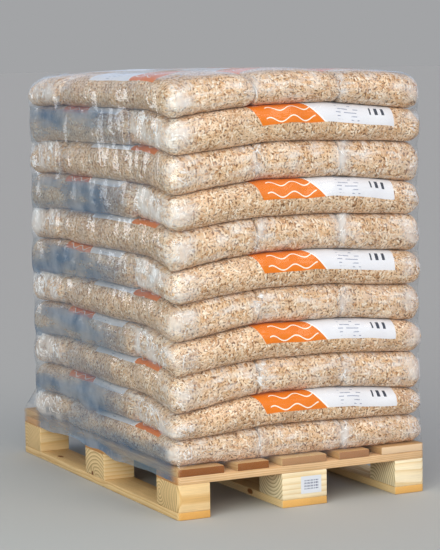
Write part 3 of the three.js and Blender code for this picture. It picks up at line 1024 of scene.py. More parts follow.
def add_bag(name, node_name, layer, length, sides, place, seed, rolled=0.0):
    """One bag, closed at both seals, in the place of the solid that stands for it."""
    points, local, creased_and_sheen = bag_surface(layer, length, sides, place, seed)
    bag = add_piece(name, points.reshape(-1, 3), BAG_FACES, pellet_bags,
                    uv_maps=film_maps(points, local, seed, rolled), attributes={"creased_and_sheen": creased_and_sheen.ravel()})
    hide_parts(node_name)
    return bag


# %% Make 44 bags
BAG_LENGTH = 0.804
ACROSS_WIDTH = 0.275
BULGE_DEPTH = 0.036
FREE_CORNER = 0.040
SIDE_GAP = 0.0002
ROLLED_BACK = 0.038
SHIFT, SHIFT_SEEDS = 0.004, 40
SEEDS_A_LAYER = 100
# Each side of a bag: its half width, the depth of its bulge and the radius of its corners
FREE_SIDE = (LOAD_HALF_WIDTH - BAG_PITCH, BULGE_DEPTH, FREE_CORNER)
PRESSED_SIDE = (BAG_PITCH / 2 - SIDE_GAP, 0.006, 0.001)
TOP_PRESSED_SIDE = (BAG_PITCH / 2 - SIDE_GAP, 0.020, 0.004)
ACROSS_SIDE = (ACROSS_WIDTH / 2, BULGE_DEPTH, FREE_CORNER)

bags = []
for layer in range(1, LAYERS + 1):
    turned = -1 if layer % 2 == 0 else 1
    across_node = f"bag_across_{layer:02d}"
    along_node = f"bags_along_{layer:02d}"
    across_low, across_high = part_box(across_node)
    along_low, along_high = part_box(along_node)
    across_y = (across_low.y + across_high.y) / 2
    along_y = (along_low.y + along_high.y) / 2
    draw = np.random.default_rng(SHIFT_SEEDS + layer)
    place = bag_frame((0, across_y), (-turned, 0), (0, turned))
    seed = SEEDS_A_LAYER * layer
    bags.append(add_bag(f"bag_{layer:02d}_across", across_node, layer, 2 * LOAD_HALF_WIDTH,
                        (ACROSS_SIDE, ACROSS_SIDE), place, seed))
    for column in (-1, 0, 1):
        shift = draw.uniform(-SHIFT, SHIFT)
        place = bag_frame((column * BAG_PITCH, along_y + shift), (0, turned), (turned, 0))
        outer = column * turned
        pressed = TOP_PRESSED_SIDE if layer == LAYERS else PRESSED_SIDE
        sides = (FREE_SIDE if outer == -1 else pressed, FREE_SIDE if outer == 1 else pressed)
        bags.append(add_bag(f"bag_{layer:02d}_along_{column + 2}", along_node, layer, BAG_LENGTH, sides,
                            place, seed + column + 2, ROLLED_BACK if turned < 0 else 0.0))
print(len(bags), "bags with", sum(len(bag.data.polygons) for bag in bags) * 2, "triangles")

# %% [markdown]
# ## The stretch film
# A hood of clear film is pulled over the whole load and hooks round the edge of the deck. It is tight, so
# it touches every bag where it bulges most and runs straight over the notches between them. Its shape is
# worked out as a distance: from a smaller block inside the load, how far out is the outermost bag at each
# place round it and each height? Notches in that map are then closed, as a taut film does, by taking the
# highest value near each place and after that the lowest one.

# %% Core inside the load
CORE_INSET = 0.09
CORE_CORNER = 0.05
CELL = 0.0095
HOOD_LOW = 0.106
core_half = np.array([LOAD_HALF_WIDTH, (LOAD_REAR - LOAD_FRONT) / 2]) - CORE_INSET - CORE_CORNER
core_middle = np.array([0.0, (LOAD_REAR + LOAD_FRONT) / 2])
core_top = float(face_height(LAYERS, 0, 0)) - CORE_INSET
WIDE, DEEP = 2 * core_half
ARC = CORE_INSET + CORE_CORNER
walk_length = 2 * (WIDE + DEEP) + 2 * np.pi * ARC
side_length = core_top - HOOD_LOW
climb_length = side_length + CORE_INSET * np.pi / 2


def around_core(points):
    """Where a point lies from the core: the walk round it, the climb up and over, and the distance."""
    flat = points[:, :2] - core_middle
    nearest = np.clip(flat, -core_half, core_half)
    away = flat - nearest
    angle = np.mod(np.arctan2(away[:, 0], -away[:, 1]), 2 * np.pi)
    across, back = nearest[:, 0] + core_half[0], nearest[:, 1] + core_half[1]
    quarter = np.pi / 2
    walked = np.select(
        [angle <= 1e-9, angle <= quarter + 1e-9, angle <= 2 * quarter + 1e-9, angle <= 3 * quarter + 1e-9],
        [across, WIDE + back, WIDE + DEEP + (WIDE - across), 2 * WIDE + DEEP + (DEEP - back)],
        2 * (WIDE + DEEP))
    out = np.linalg.norm(away, axis=1) - CORE_CORNER
    up = np.maximum(points[:, 2] - core_top, 0)
    lean = np.arctan2(up, np.maximum(out, 1e-6))
    climbed = np.minimum(points[:, 2], core_top) - HOOD_LOW + CORE_INSET * lean
    return walked + ARC * angle, climbed, np.hypot(out, up), out > 0


print("the walk round the core is", round(float(walk_length), 2), "m long")

# %% Places on the core


def core_places(walked):
    """The anchor on the core's edge and the outward direction for a walk round it."""
    sides = [WIDE, DEEP, WIDE, DEEP]
    starts = [(-core_half[0], -core_half[1]), (core_half[0], -core_half[1]),
              (core_half[0], core_half[1]), (-core_half[0], core_half[1])]
    anchor = np.zeros((len(walked), 2))
    outward = np.zeros((len(walked), 2))
    begin = 0.0
    for number in range(4):
        angle = number * np.pi / 2
        ahead = np.array([np.cos(angle), np.sin(angle)])
        out = np.array([np.sin(angle), -np.cos(angle)])
        step = walked - begin
        on_side = (step >= 0) & (step < sides[number])
        anchor[on_side] = np.array(starts[number]) + ahead * step[on_side][:, None]
        outward[on_side] = out
        begin += sides[number]
        step = walked - begin
        on_arc = (step >= 0) & (step < ARC * np.pi / 2 + 1e-9)
        turn = angle + step[on_arc] / ARC
        anchor[on_arc] = starts[(number + 1) % 4]
        outward[on_arc] = np.stack([np.sin(turn), -np.cos(turn)], axis=1)
        begin += ARC * np.pi / 2
    return anchor + core_middle + outward * CORE_CORNER, outward


print("the walk round the core starts at", core_places(np.zeros(1))[0].round(3))

# %% Close and smooth a map


def slide(values, reach, axis, pick):
    """The highest or lowest value within reach cells. Axis 1 runs round the load and has no ends."""
    if axis == 0:
        values = np.pad(values, ((reach, reach), (0, 0)), mode="edge")
    best = values
    for step in range(1, reach + 1):
        best = pick(best, pick(np.roll(values, step, axis), np.roll(values, -step, axis)))
    return best[reach:-reach] if axis == 0 else best


def soften(values, times, round_too=True):
    """Smooths a map by averaging each cell with its neighbours, a number of times."""
    for _ in range(times):
        padded = np.pad(values, ((1, 1), (0, 0)), mode="edge")
        values = (padded[:-2] + 2 * padded[1:-1] + padded[2:]) / 4
        if round_too:
            values = (np.roll(values, 1, 1) + 2 * values + np.roll(values, -1, 1)) / 4
    return values


def close_notches(values, reach):
    """Fills what is narrower than twice the reach: first the highest value near each cell, then the
    lowest of those."""
    for axis in (0, 1):
        values = slide(values, reach, axis, np.maximum)
    for axis in (0, 1):
        values = slide(values, reach, axis, np.minimum)
    return values


notched = np.ones((5, 9))
notched[:, 4] = 0
print("a notch one cell wide is filled up to", close_notches(notched, 1).min())

# %% Measure the load from its core
LEAST_REACH = 0.02
bag_points = np.concatenate([np.array([v.co for v in bag.data.vertices]) for bag in bags])
walked, climbed, distance, outside = around_core(bag_points)
AROUND_CELLS = 2 * int(round(walk_length / CELL / 2))
CLIMB_CELLS = int(round(climb_length / CELL))
reach_map = np.full((CLIMB_CELLS + 1, AROUND_CELLS), LEAST_REACH)
row = np.clip(np.round(climbed[outside] / climb_length * CLIMB_CELLS).astype(int), 0, CLIMB_CELLS)
column = np.round(walked[outside] / walk_length * AROUND_CELLS).astype(int) % AROUND_CELLS
np.maximum.at(reach_map, (row, column), distance[outside])
print("the map of the load has", reach_map.shape, "cells and reaches", round(float(reach_map.max()), 3))

# %% Edge of the deck and top of the load
TOP_CELL = 0.012
TOP_NOTCH_REACH = 5
FAR_AWAY = 9.0


def deck_distance(anchor, outward):
    """How far the deck's edge lies from each anchor, straight outwards."""
    deck_low, deck_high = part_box("deck_board_left")[0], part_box("deck_board_right")[1]
    edges = np.array([[deck_high.x, deck_high.y], [deck_low.x, deck_low.y]])
    ways = []
    for axis in (0, 1):
        edge = np.where(outward[:, axis] > 0, edges[0, axis], edges[1, axis])
        move = np.where(np.abs(outward[:, axis]) < 1e-6, 1e-6, outward[:, axis])
        ways.append(np.where(np.abs(outward[:, axis]) < 1e-6, FAR_AWAY, (edge - anchor[:, axis]) / move))
    return np.minimum(*ways)


def top_heights(places):
    """Height of the film over the load at places (x, y): the bags' tops, closed in the same way."""
    high = bag_points[bag_points[:, 2] > core_top]
    size = np.array([LOAD_HALF_WIDTH, (LOAD_REAR - LOAD_FRONT) / 2])
    cells = np.maximum((2 * size / TOP_CELL).astype(int), 1)
    grid = np.full(tuple(cells + 1), core_top)
    index = np.round((high[:, :2] - core_middle + size) / (2 * size) * cells).astype(int)
    index = np.clip(index, 0, cells)
    np.maximum.at(grid, (index[:, 0], index[:, 1]), high[:, 2])
    closed = grid
    for axis in (0, 1):
        closed = slide(closed.T if axis else closed, TOP_NOTCH_REACH, 0, np.maximum)
        closed = slide(closed, TOP_NOTCH_REACH, 0, np.minimum)
        closed = closed.T if axis else closed
    closed = soften(soften(closed, 3, False).T, 3, False).T
    at = (places - core_middle + size) / (2 * size) * cells
    base = np.clip(np.floor(at).astype(int), 0, cells - 1)
    part = np.clip(at - base, 0, 1)
    corner = [closed[base[..., 0] + i, base[..., 1] + j] for i in (0, 1) for j in (0, 1)]
    low_side = corner[0] * (1 - part[..., 1]) + corner[1] * part[..., 1]
    high_side = corner[2] * (1 - part[..., 1]) + corner[3] * part[..., 1]
    return low_side * (1 - part[..., 0]) + high_side * part[..., 0]


print("the film's top is", round(float(top_heights(core_middle[None])[0]), 3), "m up in the middle")

# %% Distance of the film from the core
NOTCH_REACH = 4
# How much of the film's place comes from the closed map, and not from the bags themselves
TIGHTNESS = 0.5
FILM_OFF = 0.0016
# The distance off the bags from which the film is loose, and how much further it is fully so
LOOSE_START, LOOSE_REACH = 0.003, 0.010
# The film leaves the deck's edge just above its top, and meets the bags after a run up the load
LEAVE_UP = 0.002
LEAST_RUN, RUN_SLOPE = 0.030, 1.1
# The height above the deck at which the lowest bags are measured
LOWEST_UP = 0.05

walk = np.arange(AROUND_CELLS) / AROUND_CELLS * walk_length
climb = np.linspace(0, climb_length, CLIMB_CELLS + 1)
anchor, outward = core_places(walk)
filled = soften(slide(slide(reach_map, 1, 0, np.maximum), 1, 1, np.maximum), 2)
taut = soften(close_notches(reach_map, NOTCH_REACH), 2)
film_distance = np.maximum(taut * TIGHTNESS + filled * (1 - TIGHTNESS), 0) + FILM_OFF
off_the_bags = np.clip((film_distance - filled - LOOSE_START) / LOOSE_REACH, 0, 1)

# Below, the film leaves the lowest bags for the edge of the deck and hangs a little below it
deck = deck_distance(anchor, outward) + FILM_OFF
height = (HOOD_LOW + climb)[:, None]
lowest_bag = soften(film_distance, 6)[int((DECK_TOP + LOWEST_UP - HOOD_LOW) / CELL)]
run = LEAST_RUN + RUN_SLOPE * np.abs(deck - lowest_bag)
share = np.clip((height - DECK_TOP - LEAVE_UP) / run, 0, 1)
slope = np.maximum(deck + (lowest_bag - deck) * share, np.where(share > 0, film_distance, 0))
film_distance = np.where(share <= 0, deck, np.where(share < 1, slope, film_distance))

# Over the top edge, the map meets the heights of the top
lean = np.clip((climb - side_length) / CORE_INSET, 0, np.pi / 2)[:, None]
top_ring = top_heights(anchor) - core_top + FILM_OFF
film_distance += lean / (np.pi / 2) * (top_ring - film_distance[-1])
print("the film is", np.round([film_distance.min(), film_distance.max()], 3), "m from the core")

# %% Shape of the hood
WRINKLE, WRINKLE_LENGTHS, WRINKLE_SEED = 0.0005, (0.03, 0.09), 811
# Wrinkles are twice as high as they are wide
WRINKLE_SHAPE = [1.0, 0.5]
HEM_WAVE, HEM_LENGTHS, HEM_SEED, HEM_REACH = 0.007, (0.10, 0.5), 77, 0.018
TOP_RINGS = 22

place_3d = np.stack(np.broadcast_arrays(walk, climb[:, None]), axis=-1)
film_distance += WRINKLE * waves(place_3d * WRINKLE_SHAPE, *WRINKLE_LENGTHS, WRINKLE_SEED)
out = film_distance * np.cos(lean)
hem = HEM_WAVE * waves(anchor, *HEM_LENGTHS, HEM_SEED) * np.exp(-climb / HEM_REACH)[:, None]
side_x = anchor[:, 0] + outward[:, 0] * out
side_y = anchor[:, 1] + outward[:, 1] * out
side_z = (np.minimum(climb, side_length) + HOOD_LOW)[:, None] + film_distance * np.sin(lean)
side = np.stack([side_x, side_y, side_z + hem], axis=-1)
inward = np.linspace(1, 0, TOP_RINGS + 1)[1:-1]
rings = core_middle + (anchor - core_middle) * inward[:, None, None]
top = np.concatenate([rings, (top_heights(rings) + FILM_OFF)[..., None]], axis=-1)
hood = np.concatenate([side, top])
rows = len(hood)
index = np.arange(rows * AROUND_CELLS).reshape(rows, AROUND_CELLS)
after = np.roll(index, -1, axis=1)
quads = np.stack([index[:-1], after[:-1], after[1:], index[1:]], axis=-1).reshape(-1, 4)
crown = np.stack([index[-1, ::2], after[-1, ::2], np.roll(index[-1, ::2], -1),
                  np.full(AROUND_CELLS // 2, rows * AROUND_CELLS)], axis=1)
middle_top = [*core_middle, float(top_heights(core_middle[None])[0]) + FILM_OFF]
hood_points = np.concatenate([hood.reshape(-1, 3), [middle_top]])
hood_faces = np.concatenate([quads, crown])
print("the hood has", len(hood_faces) * 2, "triangles")

# %% [markdown]
# ## Loose film and crumples, with painted shade and glints
# At the two long sides the film is folded in. It clings to the layers whose bags reach out to it, and it
# stays loose and cloudy over the others, painted a blue-grey that stands for the shade in the creases and
# for the dark surroundings that it mirrors. It crumples over corners, over the joints between bags and over
# the ends of the bags that lie across, and there white folds are painted as highlights. Both are worked out
# on the grid of the hood as shares from 0 to 1, and they go to the material as attributes of the points.

# %% Places on the side of the hood
# The film clings to the long sides near the front, and can be slack further back
CLING_REACH, CLING_FADE = 0.24, 0.30

share_up = np.zeros(side_z.shape)
even_layer = np.zeros(side_z.shape)
for layer in range(1, LAYERS + 1):
    low, high = face_height(layer - 1, side_x, side_y), face_height(layer, side_x, side_y)
    inside = (side_z >= low) & (side_z < high)
    share_up = np.where(inside, (side_z - low) / (high - low), share_up)
    even_layer = np.where(inside, 1 - layer % 2, even_layer)

# 1 on the long sides and 0 on the front and the rear, with a fade round the corners
at_side = np.clip(np.abs(outward[:, 0]) * 1.6 - 0.5, 0, 1)
from_corner = np.where(anchor[:, 1] < core_middle[1], side_y - LOAD_FRONT, LOAD_REAR - side_y)
from_front = np.clip((side_y - LOAD_FRONT - CLING_REACH) / CLING_FADE, 0, 1)
on_across = np.where(side_y < core_middle[1], even_layer, 1 - even_layer)
print("of the film's sides,", round(float(on_across.mean()), 2), "lies on bags that lie across")

# %% Loose film
ALWAYS_SLACK = 0.15
LOW_SLACK, LOW_START, LOW_REACH = 0.8, 0.75, 0.6
DECK_SLACK, DECK_SLACK_UP, DECK_SLACK_FADE = 0.85, 0.07, 0.03
HEM_UP = 0.02
# From just above the deck down to the hem, only the long sides are slack
ROUND_START, ROUND_FADE = 0.72, 0.1
FRONT_MILK = 0.06


def whole_hood(values):
    """Values of the hood's side, and 0 for the points on its top."""
    full = np.zeros((rows, AROUND_CELLS))
    full[:CLIMB_CELLS + 1] = values
    return np.append(full.ravel(), 0.0)


low_down = np.clip((LOW_START - side_z) / LOW_REACH, 0, 1)
slack = np.maximum(off_the_bags, soften(even_layer, 1) * from_front)
slack = np.maximum(ALWAYS_SLACK + (1 - ALWAYS_SLACK) * slack, low_down * from_front * LOW_SLACK)
near_deck = np.clip((DECK_TOP + DECK_SLACK_UP - side_z) / DECK_SLACK_FADE, 0, DECK_SLACK)
slack = np.maximum(slack, near_deck)
round_the_side = np.clip((np.abs(outward[:, 0]) - ROUND_START) / ROUND_FADE, 0, 1)
slack = np.where(side_z < DECK_TOP + HEM_UP, slack * round_the_side, slack)
# Cloudy film and painted shade: the haze is most in the notches between layers and towards the lower rear
milky_and_shaded = whole_hood(slack * (FRONT_MILK + (1 - FRONT_MILK) * at_side) * np.cos(lean))
print("the film is milky by", round(float(milky_and_shaded.mean()), 2), "on average")

# %% Crumpled film
# Shares of crumpled film, where the material paints white sheen and glints as highlights
END_CRUMPLE, CORNER_CRUMPLE, JOINT_CRUMPLE, SLACK_CRUMPLE = 0.90, 0.76, 0.56, 0.10
END_REACH, CORNER_REACH, JOINT_REACH, LINE_REACH = 0.06, 0.045, 0.032, 0.012
# Places from the load's corner, and the share of a layer's height at which its corners crumple
END_BACK, CORNER_BACK, CORNER_IN, CORNER_UP = 0.14, 0.005, 0.030, 0.60
LINE_SWAY, SWAY_LENGTHS, SWAY_SEED = 0.007, (0.04, 0.10), 93
# The joints between the bags show this near the front and the rear
FRONT_DEPTH = 0.1


def near(distance, reach, most):
    """1 close by, falling to 0 over one reach, and 0 from most reaches on: most - distance / reach."""
    return np.clip(most - distance / reach, 0, 1)


# The crumples fade out towards the seam below each layer
above_seam = np.clip(share_up * 3 - 0.2, 0, 1)
on_ends = near(np.abs(from_corner - END_BACK), END_REACH, 2.4) * above_seam
to_corner = np.hypot(LOAD_HALF_WIDTH - np.abs(side_x) - CORNER_IN, from_corner - CORNER_BACK)
at_corner = near(to_corner, CORNER_REACH, 1.4) * near(np.abs(share_up - CORNER_UP), 0.25, 1.7)
beside_joint = np.abs(side_x) - BAG_PITCH / 2
to_line = np.abs(beside_joint + LINE_SWAY * waves(place_3d, *SWAY_LENGTHS, SWAY_SEED))
joint_shows = (1 - on_across) * (1 - at_side) * (from_corner < FRONT_DEPTH)
at_joint = near(np.abs(beside_joint), JOINT_REACH, 1.3) * np.clip(share_up * 2.2 - 0.2, 0, 1)
on_line = near(to_line, LINE_REACH, 1.4) * above_seam
on_joint = joint_shows * np.maximum(JOINT_CRUMPLE * at_joint, on_line)
on_side = at_side * (END_CRUMPLE * on_ends * on_across + SLACK_CRUMPLE * slack * from_front)
on_edges = np.maximum(CORNER_CRUMPLE * at_corner, on_joint)
crumpled_and_glinting = whole_hood(np.cos(lean) ** 2 * np.maximum(on_side, on_edges))
print("the film is crumpled by", round(float(crumpled_and_glinting.mean()), 2), "on average")

# %% [markdown]
# ## The material of the film
# Polyethylene film is clear. It mirrors a little when it is seen straight on and much more at a slant.
# Where it hangs loose, many small wrinkles scatter the light, so it looks cloudy and bluish in front of
# dark things. That blue-grey is painted, and stands also for the dark surroundings that the film mirrors
# and for the shade in the creases. Where it is crumpled, white lines are painted as the folds' highlights.

# %% Mirror of the film
# Wrinkles about 90 mm long and 24 mm high: the scales are multiplied
WRINKLE_STRETCH, WRINKLE_SCALE = (7.0, 7.0, 26.0), 1.6
WRINKLE_RELIEF = 0.0022
# One face of the film mirrors about 4% of the light straight on, and the other one adds a little
FACE_MIRROR = 0.037
STRAIGHT_MIRROR = 1.15 * FACE_MIRROR
SLANT_MIRROR = 0.60
SLANT_POWER = 5.0


def film_mirror(tree, place):
    """The share of light that the film mirrors, straight + slant^5, and the bumps of its wrinkles.

    A thin film mirrors alike from both sides, and more the more it slants, as glass does. Wrinkles that
    are too fine to model keep it from a full mirror image.
    """
    wrinkle_place = node(tree, "Mapping", {}, {"Vector": place, "Scale": WRINKLE_STRETCH})
    wrinkles = node(tree, "TexNoise", {}, {
        "Vector": wrinkle_place, "Scale": WRINKLE_SCALE, "Detail": 2.0, "Roughness": 0.5,
        "Distortion": 0.8})
    bump = node(tree, "Bump", {}, {"Strength": 1.0, "Distance": WRINKLE_RELIEF, "Height": wrinkles})
    slant = node(tree, "LayerWeight", {}, {"Blend": 0.5, "Normal": bump})
    rise = node(tree, "Math", {"operation": "POWER"}, {0: slant.outputs["Facing"], 1: SLANT_POWER})
    mirror = node(tree, "Math", {"operation": "MULTIPLY_ADD"}, {
        0: rise, 1: SLANT_MIRROR, 2: STRAIGHT_MIRROR})
    return node(tree, "Math", {"operation": "MINIMUM"}, {0: mirror, 1: 1.0}), bump


print("seen straight on, the film mirrors", round(STRAIGHT_MIRROR, 3))

# %% Haze and crumples of the film
# Bands of haze about 0.4 m long and 80 mm high, and folds and patches of painted white sheen about 70 mm
# wide
BAND_SCALE, BAND_TILT = (2.4, 2.4, 12.0), math.radians(8)
LEAST_HAZE, MOST_HAZE = 0.34, 0.76
# Painted shade and reflection: the haze is blue-grey for the dark surroundings it mirrors, darkest where
# thickest
HAZE_SHADE_AND_REFLECTION_COLOURS = [(0.38, "#8C989E"), (0.50, "#70889E"), (0.62, "#587694")]
FOLD_SCALE, VEIL_PATCH_SCALE = 15.0, 13.0
FOLD_SHARPNESS = 24.0
SHEEN_AND_GLINT_WHITE = "#F4F4F6"


def film_cover(tree, place):
    """How much the film hides what is behind it, and its colour there.

    Haze comes in tilted bands. Crumples are a soft white, partly cloudy film and partly painted sheen, with
    painted highlights on bright folds: the places where a noise crosses its middle value, as
    crumpled - sharpness * |noise - 0.5|.
    """
    band_place = node(tree, "Mapping", {}, {
        "Vector": place, "Rotation": (BAND_TILT, 0, 0), "Scale": BAND_SCALE})
    haze_noise = node(tree, "TexNoise", {}, {
        "Vector": band_place, "Scale": 1.0, "Detail": 5.0, "Roughness": 0.6})
    bands = node(tree, "MapRange", {}, {
        "Value": haze_noise, "From Min": 0.37, "From Max": 0.63, "To Min": LEAST_HAZE, "To Max": MOST_HAZE})
    haze_shade_and_reflection = node(tree, "ValToRGB", {}, {"Fac": haze_noise})
    set_stops(haze_shade_and_reflection, HAZE_SHADE_AND_REFLECTION_COLOURS)
    milky_and_shaded = node(tree, "Attribute", {"attribute_name": "milky_and_shaded"}, {}).outputs["Fac"]
    haze = node(tree, "Math", {"operation": "MULTIPLY"}, {0: bands, 1: milky_and_shaded})

    crumpled_and_glinting = node(tree, "Attribute", {"attribute_name": "crumpled_and_glinting"}, {}).outputs["Fac"]
    fold_noise = node(tree, "TexNoise", {}, {
        "Vector": place, "Scale": FOLD_SCALE, "Detail": 3.0, "Roughness": 0.6, "Distortion": 0.9})
    soft_noise = node(tree, "TexNoise", {}, {"Vector": place, "Scale": VEIL_PATCH_SCALE, "Detail": 3.0})
    soft = node(tree, "MapRange", {}, {
        "Value": soft_noise, "From Min": 0.38, "From Max": 0.62, "To Min": 0.06, "To Max": 0.62})
    milk_and_sheen = node(tree, "Math", {"operation": "MULTIPLY"}, {0: soft, 1: crumpled_and_glinting})
    from_fold = node(tree, "Math", {"operation": "SUBTRACT"}, {0: fold_noise, 1: 0.5})
    fold_width = node(tree, "Math", {"operation": "ABSOLUTE"}, {0: from_fold})
    glint = node(tree, "Math", {"operation": "MULTIPLY_ADD", "use_clamp": True}, {
        0: fold_width, 1: -FOLD_SHARPNESS, 2: crumpled_and_glinting})
    folded = node(tree, "Math", {"operation": "MAXIMUM"}, {0: milk_and_sheen, 1: glint})
    white = node(tree, "MapRange", {}, {"Value": folded, "From Max": 0.25})
    tint = node(tree, "Mix", {"data_type": "RGBA"}, {
        "Factor": white, "A": haze_shade_and_reflection, "B": linear(SHEEN_AND_GLINT_WHITE)})
    return node(tree, "Math", {"operation": "MAXIMUM"}, {0: haze, 1: folded}), tint


print("loose film hides", LEAST_HAZE, "to", MOST_HAZE, "of what is behind it")

# %% Stretch film material


def stretch_film_material():
    """Clear polyethylene film: it lets light through, mirrors at a slant, and is cloudy in its wrinkles,
    with painted shade and glints.
    """
    material, tree = new_material("clear_stretch_film")
    place = node(tree, "TexCoord", {}, {}).outputs["Object"]
    mirror, bump = film_mirror(tree, place)
    cover, tint = film_cover(tree, place)
    clear = node(tree, "BsdfTransparent", {}, {"Color": linear("#FFFFFF")})
    gloss = node(tree, "BsdfGlossy", {}, {"Color": linear("#FFFFFF"), "Roughness": 0.07, "Normal": bump})
    haze_and_glints = node(tree, "BsdfDiffuse", {}, {"Color": tint})
    shiny = node(tree, "MixShader", {}, {"Fac": mirror, 1: clear, 2: gloss})
    film = node(tree, "MixShader", {}, {"Fac": cover, 1: shiny, 2: haze_and_glints})
    node(tree, "OutputMaterial", {}, {"Surface": film})
    return material


hood_piece = add_piece("stretch_hood", hood_points, hood_faces, stretch_film_material(),
                       attributes={"milky_and_shaded": milky_and_shaded, "crumpled_and_glinting": crumpled_and_glinting})
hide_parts("stretch_film")
print("the hood is on the load")

# %% [markdown]
# ## Nails and the sticker
# Each crossing of a board and a cross board is nailed. The heads are flat discs of bright steel that sit
# flush in the wood, and a few faces are enough for each. The sticker on the front block is a bit of white
# paper with plain grey bars, which its material draws as rows that a noise breaks up.

# %% Places of the nails
NAIL_ROWS = (-0.5275, 0.0, 0.5275)
WIDE_BOARD = 0.12
# The nails' places across a board, as shares of its half width, and how far each steps out of its row
WIDE_SPREAD, NARROW_SPREAD = (-0.62, 0.0, 0.62), (-0.5, 0.5)
ZIGZAG = 0.022


def nail_places():
    """Where the nails go in: (x, y, z, up or down) in rows of two or three at every crossing."""
    places = []
    for name in pallet_nodes:
        if not name.startswith(("deck", "skid")):
            continue
        low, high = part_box(name)
        width = high.x - low.x
        way = 1 if name.startswith("deck") else -1
        for row, row_y in enumerate(NAIL_ROWS):
            for number, share in enumerate(WIDE_SPREAD if width > WIDE_BOARD else NARROW_SPREAD):
                x = (low.x + high.x) / 2 + share * (width / 2)
                y = row_y + ZIGZAG * (-1) ** (number + row)
                places.append((x, y, high.z if way > 0 else low.z, way))
    return np.array(places)


places = nail_places()
print(len(places), "nails,", int((places[:, 3] > 0).sum()), "of them from above")

# %% Nail heads
NAIL_HEAD = 0.0045
NAIL_TAPER = 0.92
NAIL_PROUD = 0.0005
NAIL_SUNK = 0.002
NAIL_SIDES = 10

ring = np.arange(NAIL_SIDES)
angle = ring / NAIL_SIDES * 2 * np.pi
disc = np.stack([np.cos(angle) * NAIL_HEAD, np.sin(angle) * NAIL_HEAD, np.zeros(NAIL_SIDES)], axis=1)
after = (ring + 1) % NAIL_SIDES
outer_ring, outer_after = ring + NAIL_SIDES, after + NAIL_SIDES
outer_middle, inner_middle = np.full(NAIL_SIDES, 2 * NAIL_SIDES), np.full(NAIL_SIDES, 2 * NAIL_SIDES + 1)
head_faces = np.concatenate([np.stack(corners, axis=1) for corners in (
    (ring, after, outer_after), (ring, outer_after, outer_ring),
    (outer_ring, outer_after, outer_middle), (after, ring, inner_middle))])
heads = []
for x, y, z, way in places:
    # The head stands half a millimetre proud of the deck, and is level with the wood below the pallet
    outer = disc * [NAIL_TAPER, NAIL_TAPER * way, 1] + [x, y, z + (NAIL_PROUD if way > 0 else 0.0)]
    inner = disc * [1.0, way, 1] + [x, y, z - way * NAIL_SUNK]
    heads.append(np.concatenate([inner, outer, [[x, y, outer[0, 2]]], [[x, y, inner[0, 2]]]]))
faces = np.concatenate([head_faces + number * len(heads[0]) for number in range(len(heads))])

# Bare steel wire, pressed into heads: a grey metal that mirrors its surroundings softly
steel, tree = new_material("bright_nail_steel")
steel_surface = node(tree, "BsdfPrincipled", {}, {
    "Base Color": linear("#B4B0A8"), "Metallic": 1.0, "Roughness": 0.42})
node(tree, "OutputMaterial", {}, {"Surface": steel_surface})
nails = add_piece("nail_heads", np.concatenate(heads), faces, steel)
nails.data.set_sharp_from_angle(angle=math.radians(40))
print("the nail heads have", len(faces), "triangles")

# %% Sticker
PRINT_HALF = (0.023, 0.0135)
PRINT_ROW, PRINT_LINE = 0.0042, 0.0016
# A noise breaks the rows into bars about 2.4 mm long
PRINT_BREAKS, PRINT_ABOVE = 420.0, 0.46
sticker_low, sticker_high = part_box("pallet_sticker")
sticker_middle = (sticker_low + sticker_high) / 2


def sticker_material():
    """White office paper with rows of plain grey bars in its middle."""
    material, tree = new_material("white_sticker_paper")
    place = node(tree, "TexCoord", {}, {}).outputs["Object"]
    centred = node(tree, "VectorMath", {"operation": "SUBTRACT"}, {0: place, 1: sticker_middle})
    parts = node(tree, "SeparateXYZ", {}, {"Vector": centred})
    columns = node(tree, "TexNoise", {"noise_dimensions": "1D"}, {
        "W": parts.outputs["X"], "Scale": PRINT_BREAKS, "Detail": 0.0})
    lines = node(tree, "Math", {"operation": "PINGPONG"}, {0: parts.outputs["Z"], 1: PRINT_ROW})
    bars = all_of(tree, between(tree, parts.outputs["X"], -PRINT_HALF[0], PRINT_HALF[0]),
                  between(tree, parts.outputs["Z"], -PRINT_HALF[1], PRINT_HALF[1]),
                  between(tree, lines, PRINT_LINE, NO_LIMIT),
                  between(tree, columns, PRINT_ABOVE, NO_LIMIT))
    printed = node(tree, "Mix", {"data_type": "RGBA"}, {
        "Factor": bars, "A": linear("#DBDEE7"), "B": linear("#7F849A")})
    surface = node(tree, "BsdfPrincipled", {}, {
        "Base Color": printed, "Roughness": 0.55, "Specular IOR Level": 0.4})
    node(tree, "OutputMaterial", {}, {"Surface": surface})
    return material


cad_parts["pallet_sticker"].material_slots[0].material = sticker_material()
print("the sticker has its paper")

# %% [markdown]
# ## The room and the light
# The floor is plain and pale. In the photograph the sun stands high behind the camera, and a bright sky
# fills the shadows. Here a very wide sun comes from the front, so its mirror image in the film stays
# soft. A large lamp on the front left lights the corner. A narrow upright lamp behind the left side is
# mirrored in the film's wrinkles there and gives them their bright upright glints. The sky behind the film
# is a cool blue, and near the horizon it has the colour of the floor, so no line shows between them.

# %% Floor
FLOOR_HALF = 300
corners = [(-1, -1), (1, -1), (1, 1), (-1, 1)]
floor_mesh = bpy.data.meshes.new("floor")
floor_mesh.from_pydata([(FLOOR_HALF * x, FLOOR_HALF * y, 0) for x, y in corners], [], [(0, 1, 2, 3)])
floor = bpy.data.objects.new("floor", floor_mesh)
floor_material, tree = new_material("pale_floor")
floor_surface = node(tree, "BsdfPrincipled", {}, {
    "Base Color": linear("#B8B8B6"), "Roughness": 0.85, "Specular IOR Level": 0.2})
node(tree, "OutputMaterial", {}, {"Surface": floor_surface})
floor_mesh.materials.append(floor_material)
bpy.context.scene.collection.objects.link(floor)
print("the floor is", 2 * FLOOR_HALF, "m wide")

# %% Sun and lamps
SUN_WAY = Vector((0.28, 0.74, -0.60))
SUN_ANGLE = math.radians(94)
SUN_STRENGTH = 2.25


